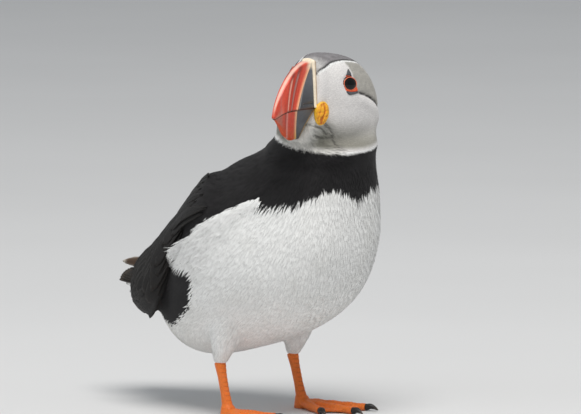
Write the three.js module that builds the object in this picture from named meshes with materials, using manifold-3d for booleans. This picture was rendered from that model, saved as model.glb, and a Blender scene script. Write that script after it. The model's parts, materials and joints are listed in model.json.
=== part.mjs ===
// An Atlantic puffin (Fratercula arctica) in breeding dress, life size, standing on both feet with its
// head turned over its right shoulder. Millimetres, +Z up; the breast faces -Y and the bird's left is +X.
// Each mesh is one closed solid of what a person would name: head, neck, wing, foot and so on.
import * as THREE from "three";
import { mergeVertices } from "three/addons/utils/BufferGeometryUtils.js";
import Module from "manifold-3d";

const wasm = await Module();
wasm.setup();

// ---------------------------------------------------------------- driving dimensions
const GAP = 0.3; // between neighbouring pieces
const BODY_SIDES = 32; // points round the body
const BODY_RINGS = 26; // rings along the body
const BODY_POWER = 0.88; // 1 makes elliptical sections, less makes them squarer

// Sections of the body from rump to neck: the spine's place, half-width, height above and below the spine.
const BODY_SECTIONS = [
  { y: 74, z: 56, wide: 9, above: 6, below: 9 },
  { y: 60, z: 58, wide: 20, above: 14, below: 25 },
  { y: 43, z: 60, wide: 31, above: 25, below: 35.5 },
  { y: 22, z: 66, wide: 39, above: 36.5, below: 38.5 },
  { y: 3, z: 76, wide: 43, above: 44, below: 43 },
  { y: -15, z: 88, wide: 42.5, above: 46.5, below: 44 },
  { y: -28, z: 102, wide: 37.5, above: 43.5, below: 38 },
  { y: -36, z: 115.5, wide: 31, above: 37.5, below: 29.5 },
  { y: -41, z: 129, wide: 24.5, above: 30, below: 23.5 },
  { y: -45, z: 142, wide: 21.5, above: 23, below: 21.5 },
  { y: -48.5, z: 153, wide: 20.5, above: 20, below: 20 },
];
const TAIL_CUT = 0.55; // section number where the tail begins
const COLLAR_CUT = 7.1; // section number where the neck begins

// The folded wings and the scapulars lie on a second envelope, which runs on beyond the rump to the wing tips.
const WING_SECTIONS = [
  { y: 104, z: 62, wide: 8, above: 5, below: 6 },
  { y: 84, z: 60, wide: 17, above: 10, below: 15 },
  { y: 62, z: 60, wide: 28.5, above: 20, below: 27 },
  { y: 42, z: 62, wide: 36, above: 31, below: 36 },
  { y: 22, z: 68, wide: 41, above: 40.5, below: 40 },
  { y: 3, z: 77, wide: 45, above: 48, below: 43 },
  { y: -15, z: 88, wide: 45, above: 50.5, below: 44 },
  { y: -28, z: 102, wide: 40.5, above: 48, below: 38.5 },
  { y: -36, z: 115.5, wide: 33.5, above: 42, below: 30 },
];

// The head's own frame starts at the top of the bill's base: +X forward along the bill, +Y left, +Z up.
const HEAD_PLACE = new THREE.Vector3(-20.2, -48.8, 177.2);
const HEAD_TURN = 69.5; // degrees from the breast's heading, towards the bird's right
const HEAD_PITCH = 2.5; // bill up
const HEAD_ROLL = 7.5; // crown towards the bird's left
const HEAD_SECTIONS = [
  { x: -49.5, top: -20, bottom: -33, wide: 5, pear: 0.05 },
  { x: -47.5, top: -11, bottom: -40, wide: 14, pear: 0.12 },
  { x: -42, top: -3.8, bottom: -45, wide: 21, pear: 0.18 },
  { x: -34, top: 2, bottom: -48, wide: 24.3, pear: 0.19 },
  { x: -24, top: 3.2, bottom: -49, wide: 23, pear: 0.14 },
  { x: -15, top: 3.4, bottom: -48, wide: 20.2, pear: 0.13 },
  { x: -8, top: 2.4, bottom: -46, wide: 15.6, pear: 0.13 },
  { x: -2, top: 0.6, bottom: -43, wide: 11.4, pear: 0.12 },
  { x: 4, top: -2.5, bottom: -41, wide: 9.2, pear: 0.05 },
  { x: 9, top: -8, bottom: -38.5, wide: 7, pear: 0 },
];
const HEAD_SIDES = 32;
const HEAD_RINGS = 20;
const HEAD_POWER = 0.78;
const THROAT = { x: 2, z: -44 }; // two points of the cut between head and neck
const NAPE = { x: -44, z: -30 };

// Bill, in side view: the culmen runs over the top, the commissure is the line of the mouth.
const CULMEN = [
  [0, 0],
  [8, -0.9],
  [16, -3.8],
  [23, -8.4],
  [29, -14.8],
  [32.4, -21],
  [33.8, -27],
];
const MOUTH = [
  [3, -21.5],
  [12, -22],
  [20, -22.7],
  [27, -24.2],
  [32.6, -27.4],
];
const GONYS = [
  [5.2, -38.2],
  [11.5, -38.4],
  [18, -36.2],
  [24, -32.2],
  [30.2, -27.8],
];
const BILL_HALF_WIDTH = 7.6; // at the gape
const RIM_THICK = 2; // the cream rim at the upper base
const RIM_PROUD = 0.7;
const RIDGE_AT = 0.48; // share of the mouth's length where the pale ridge meets it
const RIDGE_PROUD = 0.55;
const UPPER_GROOVES = [0.63, 0.76, 0.88];
const LOWER_GROOVES = [0.66, 0.82];
const GROOVE_DEEP = 0.5;
const NOSTRIL = { from: 0.05, to: 0.3, height: 0.9, radius: 0.6 };

const EYE = { x: -15.2, z: -9.6, radius: 4.4, sunk: 3.9 };
const EYE_LEAN = { forward: 0.55, up: 0.22 }; // how the eye looks, against straight out
const EYE_RING = { radius: 3.35, thick: 0.6, out: 2.9 };
const UPPER_PLATE = { ahead: 1.2, width: 3.6, height: 3.4, low: 4.4, lean: -2, thick: 0.9 };
const LOWER_PLATE = { ahead: 0.8, width: 7.6, height: 1.9, low: -4.25, thick: 0.9 };
const PLATE_SUNK = 1.6; // how far plates are let into the skin
const ROSETTE = { x: 0.8, z: -24, long: 5.4, short: 3.7, thick: 2, turn: -30, folds: 5, deep: 0.16 };
const EYE_CREASE = [
  [-21, -12.6],
  [-27, -14.6],
  [-33, -17.4],
  [-39, -21.5],
];
const CREASE_RADIUS = 1.1;
const CREASE_OUT = 0.45; // the crease's axis lies this far outside the skin

// The folded wing from wrist to tip: section number, angle of the edge at the back and of the lower edge.
const ARM_ROWS = [
  [6.6, 50, 82],
  [5.5, 27, 78],
  [4.4, 18, 72],
  [3.6, 16, 80],
  [2.9, 17, 104],
];
const WINGS = {
  left: {
    side: 1,
    rows: [...ARM_ROWS, [2.1, 14, 116], [1.4, 2, 96], [0.8, -12, 44], [0.15, -14, 2]],
  },
  right: {
    side: -1,
    rows: [...ARM_ROWS, [2.35, 30, 118], [1.95, 50, 125], [1.65, 72, 126], [1.45, 96, 120]],
  },
};
const BLADE = { end: 0.68, outer: 0.5, inner: -2.2, rows: 8, columns: 7 };
const TUCK = 5; // how deep the wing's lower edge goes under the flank

// Tiers of wing feathers, from below upwards. Roots and tips: share from wrist to tip, share from back edge down.
const WING_TIERS = [
  { count: 6, root: [0.52, 0.3, 0.52, 0.93], tip: [0.88, 0.1, 1, 0.86], width: 8, sink: -0.9, lift: 0.2 },
  { count: 5, root: [0.44, 0.08, 0.44, 0.9], tip: [0.84, 0.08, 0.68, 0.84], width: 12, sink: -0.5, lift: 1 },
  { count: 5, root: [0.3, 0.06, 0.3, 0.78], tip: [0.54, 0.08, 0.56, 0.8], width: 12, sink: -0.3, lift: 1.9 },
  { count: 4, root: [0.12, 0.1, 0.12, 0.7], tip: [0.37, 0.1, 0.37, 0.7], width: 12.5, sink: -1, lift: 1.8 },
  { count: 4, root: [0.06, 0, 0.42, -0.12], tip: [0.3, 0.1, 0.68, 0.04], width: 12, sink: -1.8, lift: 2.6 },
];
const VANE_THICK = 0.85;
const VANE_SHINGLE = 0.5; // how far one edge of a vane is raised over its neighbour

const TAIL = { root: 57, tip: 96.5, rootZ: 57.5, tipZ: 63.5, rootWide: 6.5, tipWide: 12.5, arch: 2.6 };
const TAIL_TIERS = [
  { count: 10, reach: [0.06, 1], width: 8, sink: 0, lift: 0, round: 0.1 },
  { count: 4, reach: [-0.06, 0.5], width: 10, sink: 1.4, lift: 1.2, round: 0.12 },
  { count: 4, reach: [-0.06, 0.55], width: 10, sink: -1.4, lift: -1.5, round: 0.12 },
];
const TAIL_CORE = { end: 0.32, wide: 11, tall: 6.2 };
const TAIL_CLEAR = { above: 2.6, below: 3.4 };

const ANKLE = { x: 25, y: 8, z: 27 };
const HEEL = { x: 25.5, y: 2, z: 4.5 };
const THIGH = [
  { x: 25, y: 8, z: 24, radius: 4.6 },
  { x: 25, y: 7.5, z: 29, radius: 6.2 },
  { x: 25, y: 5, z: 38, radius: 9 },
  { x: 25, y: 1, z: 52, radius: 13 },
];
const THIGH_NARROW = 0.85; // width against depth
const TARSUS = [3.1, 2.5, 2.6, 3.4]; // radii from heel to ankle
const TARSUS_NARROW = 0.75;
const FOOT_TOP = 6; // height of the cut between foot and tarsus
const TOES = {
  inner: { length: 25, turn: -24, knuckles: 2 },
  middle: { length: 34, turn: 2, knuckles: 3 },
  outer: { length: 33, turn: 26, knuckles: 4 },
};
const TOE_RADIUS = { root: 2.9, tip: 2, waist: 0.82 };
const TOE_HEIGHT = { root: 2.6, tip: 1.85 };
const WEB = { low: 0.6, high: 1.9, scallop: 0.16, cells: 4 };
const HEEL_PAD = 4;
// A claw's stations: share of its length, height of its centre, share of its radius.
const CLAW = {
  length: 6.4,
  radius: 1.7,
  stations: [
    [0, 1.9, 1],
    [0.12, 1.92, 0.97],
    [0.4, 2.3, 0.82],
    [0.7, 1.7, 0.55],
    [1, 0.6, 0.15],
  ],
};

const COLOURS = {
  black: 0x1d1c1e,
  white: 0xe6e6e4,
  cheek: 0xc9c8c8,
  red: 0xd9532b,
  cream: 0xe8d9b8,
  yellow: 0xe9a21c,
  slate: 0x5a6068,
  eye: 0x2a211d,
  orange: 0xe06a1c,
  claw: 0x26221f,
};

// ---------------------------------------------------------------- helpers
const radians = THREE.MathUtils.degToRad;
const { lerp, smoothstep } = THREE.MathUtils;
const vec = (x, y, z) => new THREE.Vector3(x, y, z);
const range = (count) => Array.from({ length: count }, (_, i) => i);
const UP = vec(0, 0, 1);
const LEFT = vec(1, 0, 0);

// A power that keeps its argument's sign.
const signedPower = (value, power) => Math.sign(value) * Math.abs(value) ** power;

// A smooth curve through rows of up to three numbers; at(k) and along(k) take a row number, whole or not.
const HALF_ROW = 0.5;
function smoothRows(rows) {
  const points = rows.map((r) => vec(r[0], r[1], r[2] ?? 0));
  const curve = new THREE.CatmullRomCurve3(points, false, "catmullrom", 0.5);
  const last = rows.length - 1;
  const share = (k) => Math.min(Math.max(k / last, 0), 1);
  const at = (k) => curve.getPoint(share(k));
  return { last, at, along: (k) => at(k + HALF_ROW).sub(at(k - HALF_ROW)).normalize() };
}

// Merged points as a solid that faces outwards.
function solidFromGeometry(geometry) {
  const bare = geometry.clone();
  bare.deleteAttribute("normal");
  bare.deleteAttribute("uv");
  const merged = mergeVertices(bare, 1e-4);
  const triVerts = new Uint32Array(merged.index.array);
  const vertProperties = merged.attributes.position.array;
  const build = () => new wasm.Manifold(new wasm.Mesh({ numProp: 3, vertProperties, triVerts }));
  const made = build();
  if (made.volume() >= 0) return made;
  for (let i = 0; i < triVerts.length; i += 3) {
    [triVerts[i + 1], triVerts[i + 2]] = [triVerts[i + 2], triVerts[i + 1]];
  }
  return build();
}

function solidOf(points, faces) {
  const geometry = new THREE.BufferGeometry().setFromPoints(points);
  geometry.setIndex(faces);
  return solidFromGeometry(geometry);
}

// A closed solid from rings of equally many points, with a fan at each end.
function loft(rings) {
  const sides = rings[0].length;
  const points = rings.flat();
  const centre = (ring) => ring.reduce((sum, p) => sum.add(p), vec(0, 0, 0)).divideScalar(sides);
  const first = points.push(centre(rings[0])) - 1;
  const last = points.push(centre(rings.at(-1))) - 1;
  const end = (rings.length - 1) * sides;
  const faces = [];
  for (let j = 0; j < sides; j++) {
    const next = (j + 1) % sides;
    for (let i = 0; i < end; i += sides) {
      faces.push(i + j, i + next, i + next + sides, i + j, i + next + sides, i + j + sides);
    }
    faces.push(first, next, j, last, end + j, end + next);
  }
  return solidOf(points, faces);
}

// A closed sheet between two grids of points, split into triangles alike on both faces.
function slab(outer, inner) {
  const rows = outer.length;
  const columns = outer[0].length;
  const under = rows * columns;
  const at = (i, j) => i * columns + j;
  const faces = [];
  for (let i = 0; i < rows - 1; i++) {
    for (let j = 0; j < columns - 1; j++) {
      const [a, b, c, d] = [at(i, j), at(i, j + 1), at(i + 1, j + 1), at(i + 1, j)];
      faces.push(a, b, c, a, c, d);
      faces.push(under + a, under + c, under + b, under + a, under + d, under + c);
    }
  }
  const wall = (a, b) => faces.push(b, a, under + a, b, under + a, under + b);
  for (let j = 0; j < columns - 1; j++) {
    wall(at(0, j), at(0, j + 1));
    wall(at(rows - 1, j + 1), at(rows - 1, j));
  }
  for (let i = 0; i < rows - 1; i++) {
    wall(at(i + 1, 0), at(i, 0));
    wall(at(i, columns - 1), at(i + 1, columns - 1));
  }
  return solidOf([...outer.flat(), ...inner.flat()], faces);
}

// A bar through centres with given radii; its width is a share of its depth.
function bar(centres, radii, sides, narrow = 1) {
  const last = centres.length - 1;
  const rings = centres.map((centre, i) => {
    const along = centres[Math.min(i + 1, last)].clone().sub(centres[Math.max(i - 1, 0)]).normalize();
    const side = LEFT.clone().addScaledVector(along, -along.x).normalize();
    const up = along.clone().cross(side);
    return range(sides).map((j) => {
      const angle = (j / sides) * 2 * Math.PI;
      return centre
        .clone()
        .addScaledVector(side, radii[i] * narrow * Math.cos(angle))
        .addScaledVector(up, radii[i] * Math.sin(angle));
    });
  });
  return loft(rings);
}

// The largest closed surface of a solid, without loose scraps.
function largest(solid) {
  return solid.decompose().reduce((best, piece) => (piece.volume() > best.volume() ? piece : best));
}

// What lies on the side of a plane that its normal points to, short of it by half a gap.
function keepBeyond(solid, normal, point) {
  const unit = normal.clone().normalize();
  return solid.trimByPlane(unit.toArray(), unit.dot(point) + GAP / 2);
}

function keepBehind(solid, normal, point) {
  return keepBeyond(solid, normal.clone().negate(), point);
}

const materials = Object.fromEntries(
  Object.entries(COLOURS).map(([name, color]) => {
    const roughness = name === "eye" ? 0.1 : 0.6;
    return [name, new THREE.MeshStandardMaterial({ name, color, roughness, metalness: 0 })];
  }),
);

function meshOf(name, solid, material) {
  const { vertProperties, triVerts } = largest(solid).getMesh();
  const geometry = new THREE.BufferGeometry();
  geometry.setAttribute("position", new THREE.BufferAttribute(vertProperties, 3));
  geometry.setIndex(new THREE.BufferAttribute(triVerts, 1));
  const mesh = new THREE.Mesh(geometry, materials[material]);
  mesh.name = name;
  return mesh;
}

// ---------------------------------------------------------------- feathers
const VANE_STATIONS = [0, 0.45, 0.8, 1];
const VANE_PROFILE = [0.62, 1, 0.84, 0.3]; // share of the full width at each station
const VANE_ACROSS = [-1, 1];

// One feather as a thin slab over a surface(u, v, height), from a root to a tip, both as [u, v].
function vane(surface, root, tip, { width, sink, lift, side = 1 }) {
  const place = (t, height) => surface(lerp(root[0], tip[0], t), lerp(root[1], tip[1], t), height);
  const outer = [];
  const inner = [];
  VANE_STATIONS.forEach((t, i) => {
    const height = lerp(sink, lift, t);
    const centre = place(t, height);
    const out = place(t, height + 1).sub(centre).normalize();
    const along = place(t + 0.02, height).sub(place(t - 0.02, height)).normalize();
    const across = along.cross(out).normalize().multiplyScalar(side);
    const half = (width / 2) * VANE_PROFILE[i];
    const thick = VANE_THICK * (1 - 0.25 * t);
    const strip = (offset) =>
      VANE_ACROSS.map((share) =>
        centre
          .clone()
          .addScaledVector(across, share * half)
          .addScaledVector(out, offset + share * VANE_SHINGLE),
      );
    outer.push(strip(thick / 2));
    inner.push(strip(-thick / 2));
  });
  return slab(outer, inner);
}

// A row of feathers between a first and a last one; roots and tips as [u, v, u, v].
function vaneRow(surface, tier, extra = {}) {
  return range(tier.count).map((i) => {
    const share = i / (tier.count - 1);
    const mix = (ends) => [lerp(ends[0], ends[2], share), lerp(ends[1], ends[3], share)];
    return vane(surface, mix(tier.root), mix(tier.tip), { ...tier, ...extra });
  });
}

// ---------------------------------------------------------------- body
const spineOf = (sections) => smoothRows(sections.map((s) => [0, s.y, s.z]));
const girthOf = (sections) => smoothRows(sections.map((s) => [s.wide, s.above, s.below]));

// Points round a spine: section number, angle in degrees from the back to the left, height off the surface.
function envelope(sections) {
  const spine = spineOf(sections);
  const girth = girthOf(sections);
  const point = (section, degrees, height = 0) => {
    const angle = radians(degrees);
    const up = spine.along(section).cross(LEFT);
    const size = girth.at(section);
    const tall = (Math.cos(angle) > 0 ? size.y : size.z) + height;
    return spine
      .at(section)
      .addScaledVector(LEFT, (size.x + height) * signedPower(Math.sin(angle), BODY_POWER))
      .addScaledVector(up, tall * signedPower(Math.cos(angle), BODY_POWER));
  };
  return { spine, point };
}

const body = envelope(BODY_SECTIONS);
const wingBed = envelope(WING_SECTIONS);

function bodySolid(height = 0) {
  const rings = range(BODY_RINGS + 1).map((i) => {
    const section = (i / BODY_RINGS) * body.spine.last;
    return range(BODY_SIDES).map((j) => body.point(section, (j / BODY_SIDES) * 360, height));
  });
  return loft(rings);
}

const sectionPlane = (section) => [body.spine.along(section), body.spine.at(section)];

// ---------------------------------------------------------------- wings
function wingSurface({ side, line }) {
  return (along, down, height) => {
    const { x: section, y: top, z: low } = line.at(along * line.last);
    const covered = smoothstep(down, 0.66, 1) * (1 - smoothstep(along, 0.38, 0.52));
    return wingBed.point(section, lerp(top, low, down) * side, height - TUCK * covered);
  };
}

function wingSolid(wing) {
  const surface = wingSurface(wing);
  const sheet = (height) =>
    range(BLADE.rows).map((i) =>
      range(BLADE.columns).map((j) => {
        const along = (i / (BLADE.rows - 1)) * BLADE.end;
        return surface(along, j / (BLADE.columns - 1), height);
      }),
    );
  const feathers = WING_TIERS.flatMap((tier) => vaneRow(surface, tier, { side: -wing.side }));
  return wasm.Manifold.union([slab(sheet(BLADE.outer), sheet(BLADE.inner)), ...feathers]);
}

// ---------------------------------------------------------------- tail
// Share from root to tip, share from the middle to the left edge, height above the fan.
function tailSurface(along, out, height) {
  const wide = lerp(TAIL.rootWide, TAIL.tipWide, along);
  const z = lerp(TAIL.rootZ, TAIL.tipZ, along) - TAIL.arch * out * out * along;
  return vec(wide * out, lerp(TAIL.root, TAIL.tip, along), z + height);
}

function tailSolid() {
  const feathers = TAIL_TIERS.flatMap(({ count, reach, round, ...tier }) =>
    range(count).map((i) => {
      const out = (i / (count - 1)) * 2 - 1;
      const end = reach[1] * (1 - round * out * out);
      const side = out < 0 ? 1 : -1;
      const drop = Math.sign(tier.lift || 1) * 0.5 * Math.abs(out);
      const heights = { sink: tier.sink - drop, lift: tier.lift - drop };
      return vane(tailSurface, [reach[0], out * 0.9], [end, out], { ...tier, ...heights, side });
    }),
  );
  const core = loft(
    range(4).map((i) => {
      const along = (i / 3) * TAIL_CORE.end;
      const shrink = 1 - 0.75 * (i / 3) ** 2;
      return range(14).map((j) => {
        const angle = (j / 14) * 2 * Math.PI;
        const centre = tailSurface(along, 0, -0.6);
        const rise = TAIL_CORE.tall * shrink * Math.sin(angle);
        return centre.add(vec(TAIL_CORE.wide * (0.8 + 0.2 * shrink) * Math.cos(angle), 0, rise));
      });
    }),
  );
  return wasm.Manifold.union([core, ...feathers]);
}

// The room that the tail takes up, for the wings to keep clear of.
function tailRoom() {
  const sheet = (height) =>
    range(6).map((i) => range(5).map((j) => tailSurface((i / 5) * 1.04 - 0.02, ((j / 4) * 2 - 1) * 1.3, height)));
  return slab(sheet(TAIL_CLEAR.above), sheet(-TAIL_CLEAR.below));
}

// ---------------------------------------------------------------- head
function headMatrix() {
  const turn = radians(HEAD_TURN);
  const pitch = radians(HEAD_PITCH);
  const roll = radians(HEAD_ROLL);
  const forward = vec(-Math.sin(turn), -Math.cos(turn), 0).multiplyScalar(Math.cos(pitch));
  forward.addScaledVector(UP, Math.sin(pitch));
  const level = UP.clone().cross(forward).normalize();
  const upright = forward.clone().cross(level);
  const crown = upright.clone().multiplyScalar(Math.cos(roll)).addScaledVector(level, Math.sin(roll));
  return new THREE.Matrix4().makeBasis(forward, crown.clone().cross(forward), crown).setPosition(HEAD_PLACE);
}

const headLine = smoothRows(HEAD_SECTIONS.map((s) => [s.x, s.top, s.bottom]));
const headGirth = smoothRows(HEAD_SECTIONS.map((s) => [s.wide, s.pear]));

function headSolid() {
  const rings = range(HEAD_RINGS + 1).map((i) => {
    const section = (i / HEAD_RINGS) * headLine.last;
    const { x, y: top, z: bottom } = headLine.at(section);
    const { x: wide, y: pear } = headGirth.at(section);
    return range(HEAD_SIDES).map((j) => {
      const angle = (j / HEAD_SIDES) * 2 * Math.PI;
      const across = wide * signedPower(Math.sin(angle), HEAD_POWER) * (1 - pear * Math.cos(angle));
      const rise = ((top - bottom) / 2) * signedPower(Math.cos(angle), HEAD_POWER);
      return vec(x, across, (top + bottom) / 2 + rise);
    });
  });
  return loft(rings);
}

// How far out the head's skin lies at a place in its side view.
function skinAt(x, z) {
  let [low, high] = [0, headLine.last];
  for (let i = 0; i < 20; i++) {
    const middle = (low + high) / 2;
    if (headLine.at(middle).x < x) low = middle;
    else high = middle;
  }
  const { y: top, z: bottom } = headLine.at(low);
  const { x: wide, y: pear } = headGirth.at(low);
  const share = THREE.MathUtils.clamp((z - (top + bottom) / 2) / ((top - bottom) / 2), -1, 1);
  const cosine = signedPower(share, 1 / HEAD_POWER);
  return wide * Math.sqrt(1 - cosine * cosine) ** HEAD_POWER * (1 - pear * cosine);
}

const eyeDepth = skinAt(EYE.x, EYE.z) - EYE.sunk;

// The frame of an eye, looking outwards: +Z out, +Y up the head.
function eyeFrame(side) {
  const out = vec(EYE_LEAN.forward, side, EYE_LEAN.up).normalize();
  const up = UP.clone().addScaledVector(out, -out.z).normalize();
  const ahead = up.clone().cross(out);
  return new THREE.Matrix4().makeBasis(ahead, up, out).setPosition(EYE.x, side * eyeDepth, EYE.z);
}

function eyeBall(side, grow) {
  const ball = solidFromGeometry(new THREE.SphereGeometry(EYE.radius + grow, 14, 9));
  return ball.rotate([90, 0, 0]).transform(eyeFrame(side).elements);
}

function eyeRing(side, grow) {
  const ring = new THREE.TorusGeometry(EYE_RING.radius, EYE_RING.thick + grow, 6, 18);
  const whole = solidFromGeometry(ring.translate(0, 0, EYE_RING.out)).transform(eyeFrame(side).elements);
  return grow ? whole : whole.subtract(eyeBall(side, GAP));
}

// A plate let into the skin, from its outline in side view; grown, it is the pocket it sits in.
function skinPlate(side, outline, thick, grow) {
  const middle = outline.reduce((sum, p) => sum.add(p), new THREE.Vector2()).divideScalar(outline.length);
  const rim = outline.map((p) => p.clone().addScaledVector(p.clone().sub(middle).normalize(), grow * 1.4));
  const at = (height) => rim.map((p) => vec(p.x, side * (skinAt(p.x, p.y) + height), p.y));
  const count = rim.length;
  const faces = THREE.ShapeUtils.triangulateShape(rim, []).flatMap(([a, b, c]) => [
    a, b, c, count + a, count + c, count + b,
  ]);
  for (let i = 0; i < count; i++) {
    const next = (i + 1) % count;
    faces.push(i, i + count, next, next, i + count, next + count);
  }
  return solidOf([...at(thick + grow), ...at(-PLATE_SUNK - grow)], faces);
}

const besideEye = (corners) => corners.map(([x, z]) => new THREE.Vector2(EYE.x + x, EYE.z + z));

function upperPlate(side, grow) {
  const { ahead, width, height, low, lean, thick } = UPPER_PLATE;
  const outline = besideEye([
    [ahead - width / 2, low],
    [ahead, low + 0.5],
    [ahead + width / 2, low],
    [ahead + lean + 0.5, low + height],
    [ahead + lean - 0.5, low + height],
  ]);
  return skinPlate(side, outline, thick, grow);
}

function lowerPlate(side, grow) {
  const { ahead, width, height, low, thick } = LOWER_PLATE;
  const outline = besideEye([
    [ahead + width / 2, low],
    [ahead - width / 2, low],
    [ahead - width / 2 + 1.6, low - height],
    [ahead + width / 2 - 1.6, low - height],
  ]);
  return skinPlate(side, outline, thick, grow);
}

// The wrinkled yellow skin at the gape, with folds that run up and down.
function rosette(side, grow) {
  const { x, z, long, short, thick, turn, folds, deep } = ROSETTE;
  const ball = new THREE.SphereGeometry(1, 20, 10);
  const spots = ball.attributes.position;
  for (let i = 0; i < spots.count; i++) {
    const [px, py, pz] = [spots.getX(i), spots.getY(i), spots.getZ(i)];
    const wave = grow ? 0 : deep * (Math.cos(px * folds * Math.PI) - 1);
    spots.setXYZ(i, px * (short + grow), pz * (1 + wave) * (thick + grow), py * (long + grow));
  }
  return solidFromGeometry(ball).rotate([0, 0, side * turn]).translate([x, side * skinAt(x, z), z]);
}

// The furrow that runs back from the eye.
function eyeCrease(side) {
  const path = EYE_CREASE.map(([x, z]) => vec(x, side * (skinAt(x, z) + CREASE_OUT), z));
  return bar(path, [0.5, 1, 1, 0.6].map((share) => share * CREASE_RADIUS), 6);
}

// ---------------------------------------------------------------- bill
const culmen = smoothRows(CULMEN);
const mouth = smoothRows(MOUTH);
const gonys = smoothRows(GONYS);
const baseNormal = vec(-GONYS[0][1], 0, GONYS[0][0]); // of the bill's base plane, forward

const onCurve = (curve, share) => curve.at(share * curve.last);
const billWidth = (share) => BILL_HALF_WIDTH * (1 - share ** 1.3) ** 0.9 + 0.5;

// Behind the pale ridge, all lines fan out from one point at the bill's base; beyond it they run to its edge.
const fanned = (share) =>
  share < RIDGE_AT ? (0.06 * share) / RIDGE_AT : 0.06 + (0.94 * (share - RIDGE_AT)) / (1 - RIDGE_AT);

// Height of the ridge and depth of the grooves along the bill.
function relief(share, grooves) {
  const bump = (centre) => Math.max(1 - Math.abs(share - centre) / 0.025, 0);
  return RIDGE_PROUD * bump(RIDGE_AT) - GROOVE_DEEP * Math.max(...grooves.map(bump));
}

// Shares along the bill, closer together at the ridge and the grooves.
function billShares(grooves, end) {
  const fine = [RIDGE_AT, ...grooves].flatMap((s) => [s - 0.025, s, s + 0.025]);
  return [0, 0.13, 0.25, 0.37, ...fine, ...end].sort((a, b) => a - b);
}

// A point on the upper bill's side: share along it, share down from culmen to mouth.
function upperSide(share, down, grow = 0) {
  const crest = onCurve(culmen, fanned(share));
  const edge = onCurve(mouth, share);
  const bow = 3.2 * Math.sin(Math.PI * down) * Math.min(share / RIDGE_AT, 1) * (1 - share);
  const crestWidth = lerp(2.3, 0.7, fanned(share));
  const out = lerp(crestWidth, billWidth(share), down) + grow;
  const raised = down > 0.1 ? relief(share, UPPER_GROOVES) : 0;
  return vec(lerp(crest.x, edge.x, down) + bow, out + raised, lerp(crest.y + grow, edge.y, down));
}

const mirrored = (points) => points.map((p) => vec(p.x, -p.y, p.z)).reverse();

function upperBill(grow = 0) {
  const rings = billShares(UPPER_GROOVES, [0.94, 0.985]).map((share) => {
    const left = [0.06, 0.22, 0.45, 0.72, 1].map((down) => upperSide(share, down, grow));
    const top = upperSide(share, 0, grow).setY(0);
    const floor = upperSide(share, 1).setY(0);
    return [top, ...left, floor, ...mirrored(left)];
  });
  const tip = onCurve(culmen, 1);
  rings.push(rings.at(-1).map((p) => vec(tip.x, 0, tip.y).lerp(p, 0.12)));
  return loft(rings);
}

function lowerBill() {
  const rings = billShares(LOWER_GROOVES, [0.93, 0.98]).map((share) => {
    const edge = onCurve(mouth, share).setY(onCurve(mouth, share).y - GAP);
    const keel = onCurve(gonys, fanned(share));
    const left = [0, 0.35, 0.7, 0.95].map((down) => {
      const bow = 1.6 * Math.sin(Math.PI * down) * (1 - share);
      const out = lerp(billWidth(share) * 0.93, 1.4 * (1 - share) + 0.5, down ** 1.15);
      const raised = down > 0.9 ? 0 : relief(share, LOWER_GROOVES);
      return vec(lerp(edge.x, keel.x, down) + bow, out + raised, lerp(edge.y, keel.y, down));
    });
    return [vec(edge.x, 0, edge.y), ...left, vec(keel.x, 0, keel.y), ...mirrored(left)];
  });
  return loft(rings);
}

function nostril(side) {
  const { from, to, height, radius } = NOSTRIL;
  const path = [from, (from + to) / 2, to].map((share) => {
    const p = upperSide(share, height);
    return vec(p.x, side * p.y, p.z);
  });
  return bar(path, [radius * 0.5, radius, radius * 0.6], 6);
}

// ---------------------------------------------------------------- legs
function tarsus(side) {
  const heel = vec(side * HEEL.x, HEEL.y, HEEL.z);
  const ankle = vec(side * ANKLE.x, ANKLE.y, ANKLE.z);
  const centres = TARSUS.map((_, i) => heel.clone().lerp(ankle, (i / (TARSUS.length - 1)) * 1.05));
  return bar(centres, TARSUS, 12, TARSUS_NARROW);
}

function thigh(side) {
  const centres = THIGH.map((p) => vec(side * p.x, p.y, p.z));
  return bar(centres, THIGH.map((p) => p.radius), 16, THIGH_NARROW);
}

// The centre line of a toe, from the heel to the root of its claw.
function toeLine(side, { length, turn }) {
  const angle = radians(turn) * side;
  const ahead = vec(Math.sin(angle), -Math.cos(angle), 0);
  const root = vec(side * HEEL.x, HEEL.y, 0);
  return (share) => root.clone().addScaledVector(ahead, length * share).setZ(lerp(TOE_HEIGHT.root, TOE_HEIGHT.tip, share));
}

function toe(side, shape) {
  const line = toeLine(side, shape);
  const joints = shape.knuckles * 2;
  const shares = range(joints + 1).map((i) => i / joints);
  const radii = shares.map((share, i) => {
    const plain = lerp(TOE_RADIUS.root, TOE_RADIUS.tip, share);
    return i % 2 ? plain * TOE_RADIUS.waist : plain;
  });
  return bar(shares.map(line), radii, 8);
}

// The skin between two toes, its front edge curved in.
function web(side, first, second) {
  const [from, to] = [toeLine(side, first), toeLine(side, second)];
  const sheet = (height) =>
    range(WEB.cells + 1).map((i) =>
      range(WEB.cells + 1).map((j) => {
        const across = j / WEB.cells;
        const reach = (i / WEB.cells) * (0.97 - WEB.scallop * Math.sin(Math.PI * across));
        return from(0.04 + reach * 0.96).lerp(to(0.04 + reach * 0.96), across).setZ(height);
      }),
    );
  return slab(sheet(WEB.high), sheet(WEB.low));
}

function foot(side) {
  const { inner, middle, outer } = TOES;
  const heel = (z) => vec(side * HEEL.x, HEEL.y, z);
  const pad = bar([heel(-1), heel(3), heel(FOOT_TOP + 1)], [HEEL_PAD, HEEL_PAD * 0.9, TARSUS[0]], 12);
  const toes = [inner, middle, outer].map((shape) => toe(side, shape));
  const webs = [web(side, inner, middle), web(side, middle, outer)];
  return wasm.Manifold.union([pad, ...toes, ...webs]).trimByPlane(UP.toArray(), 0);
}

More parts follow.
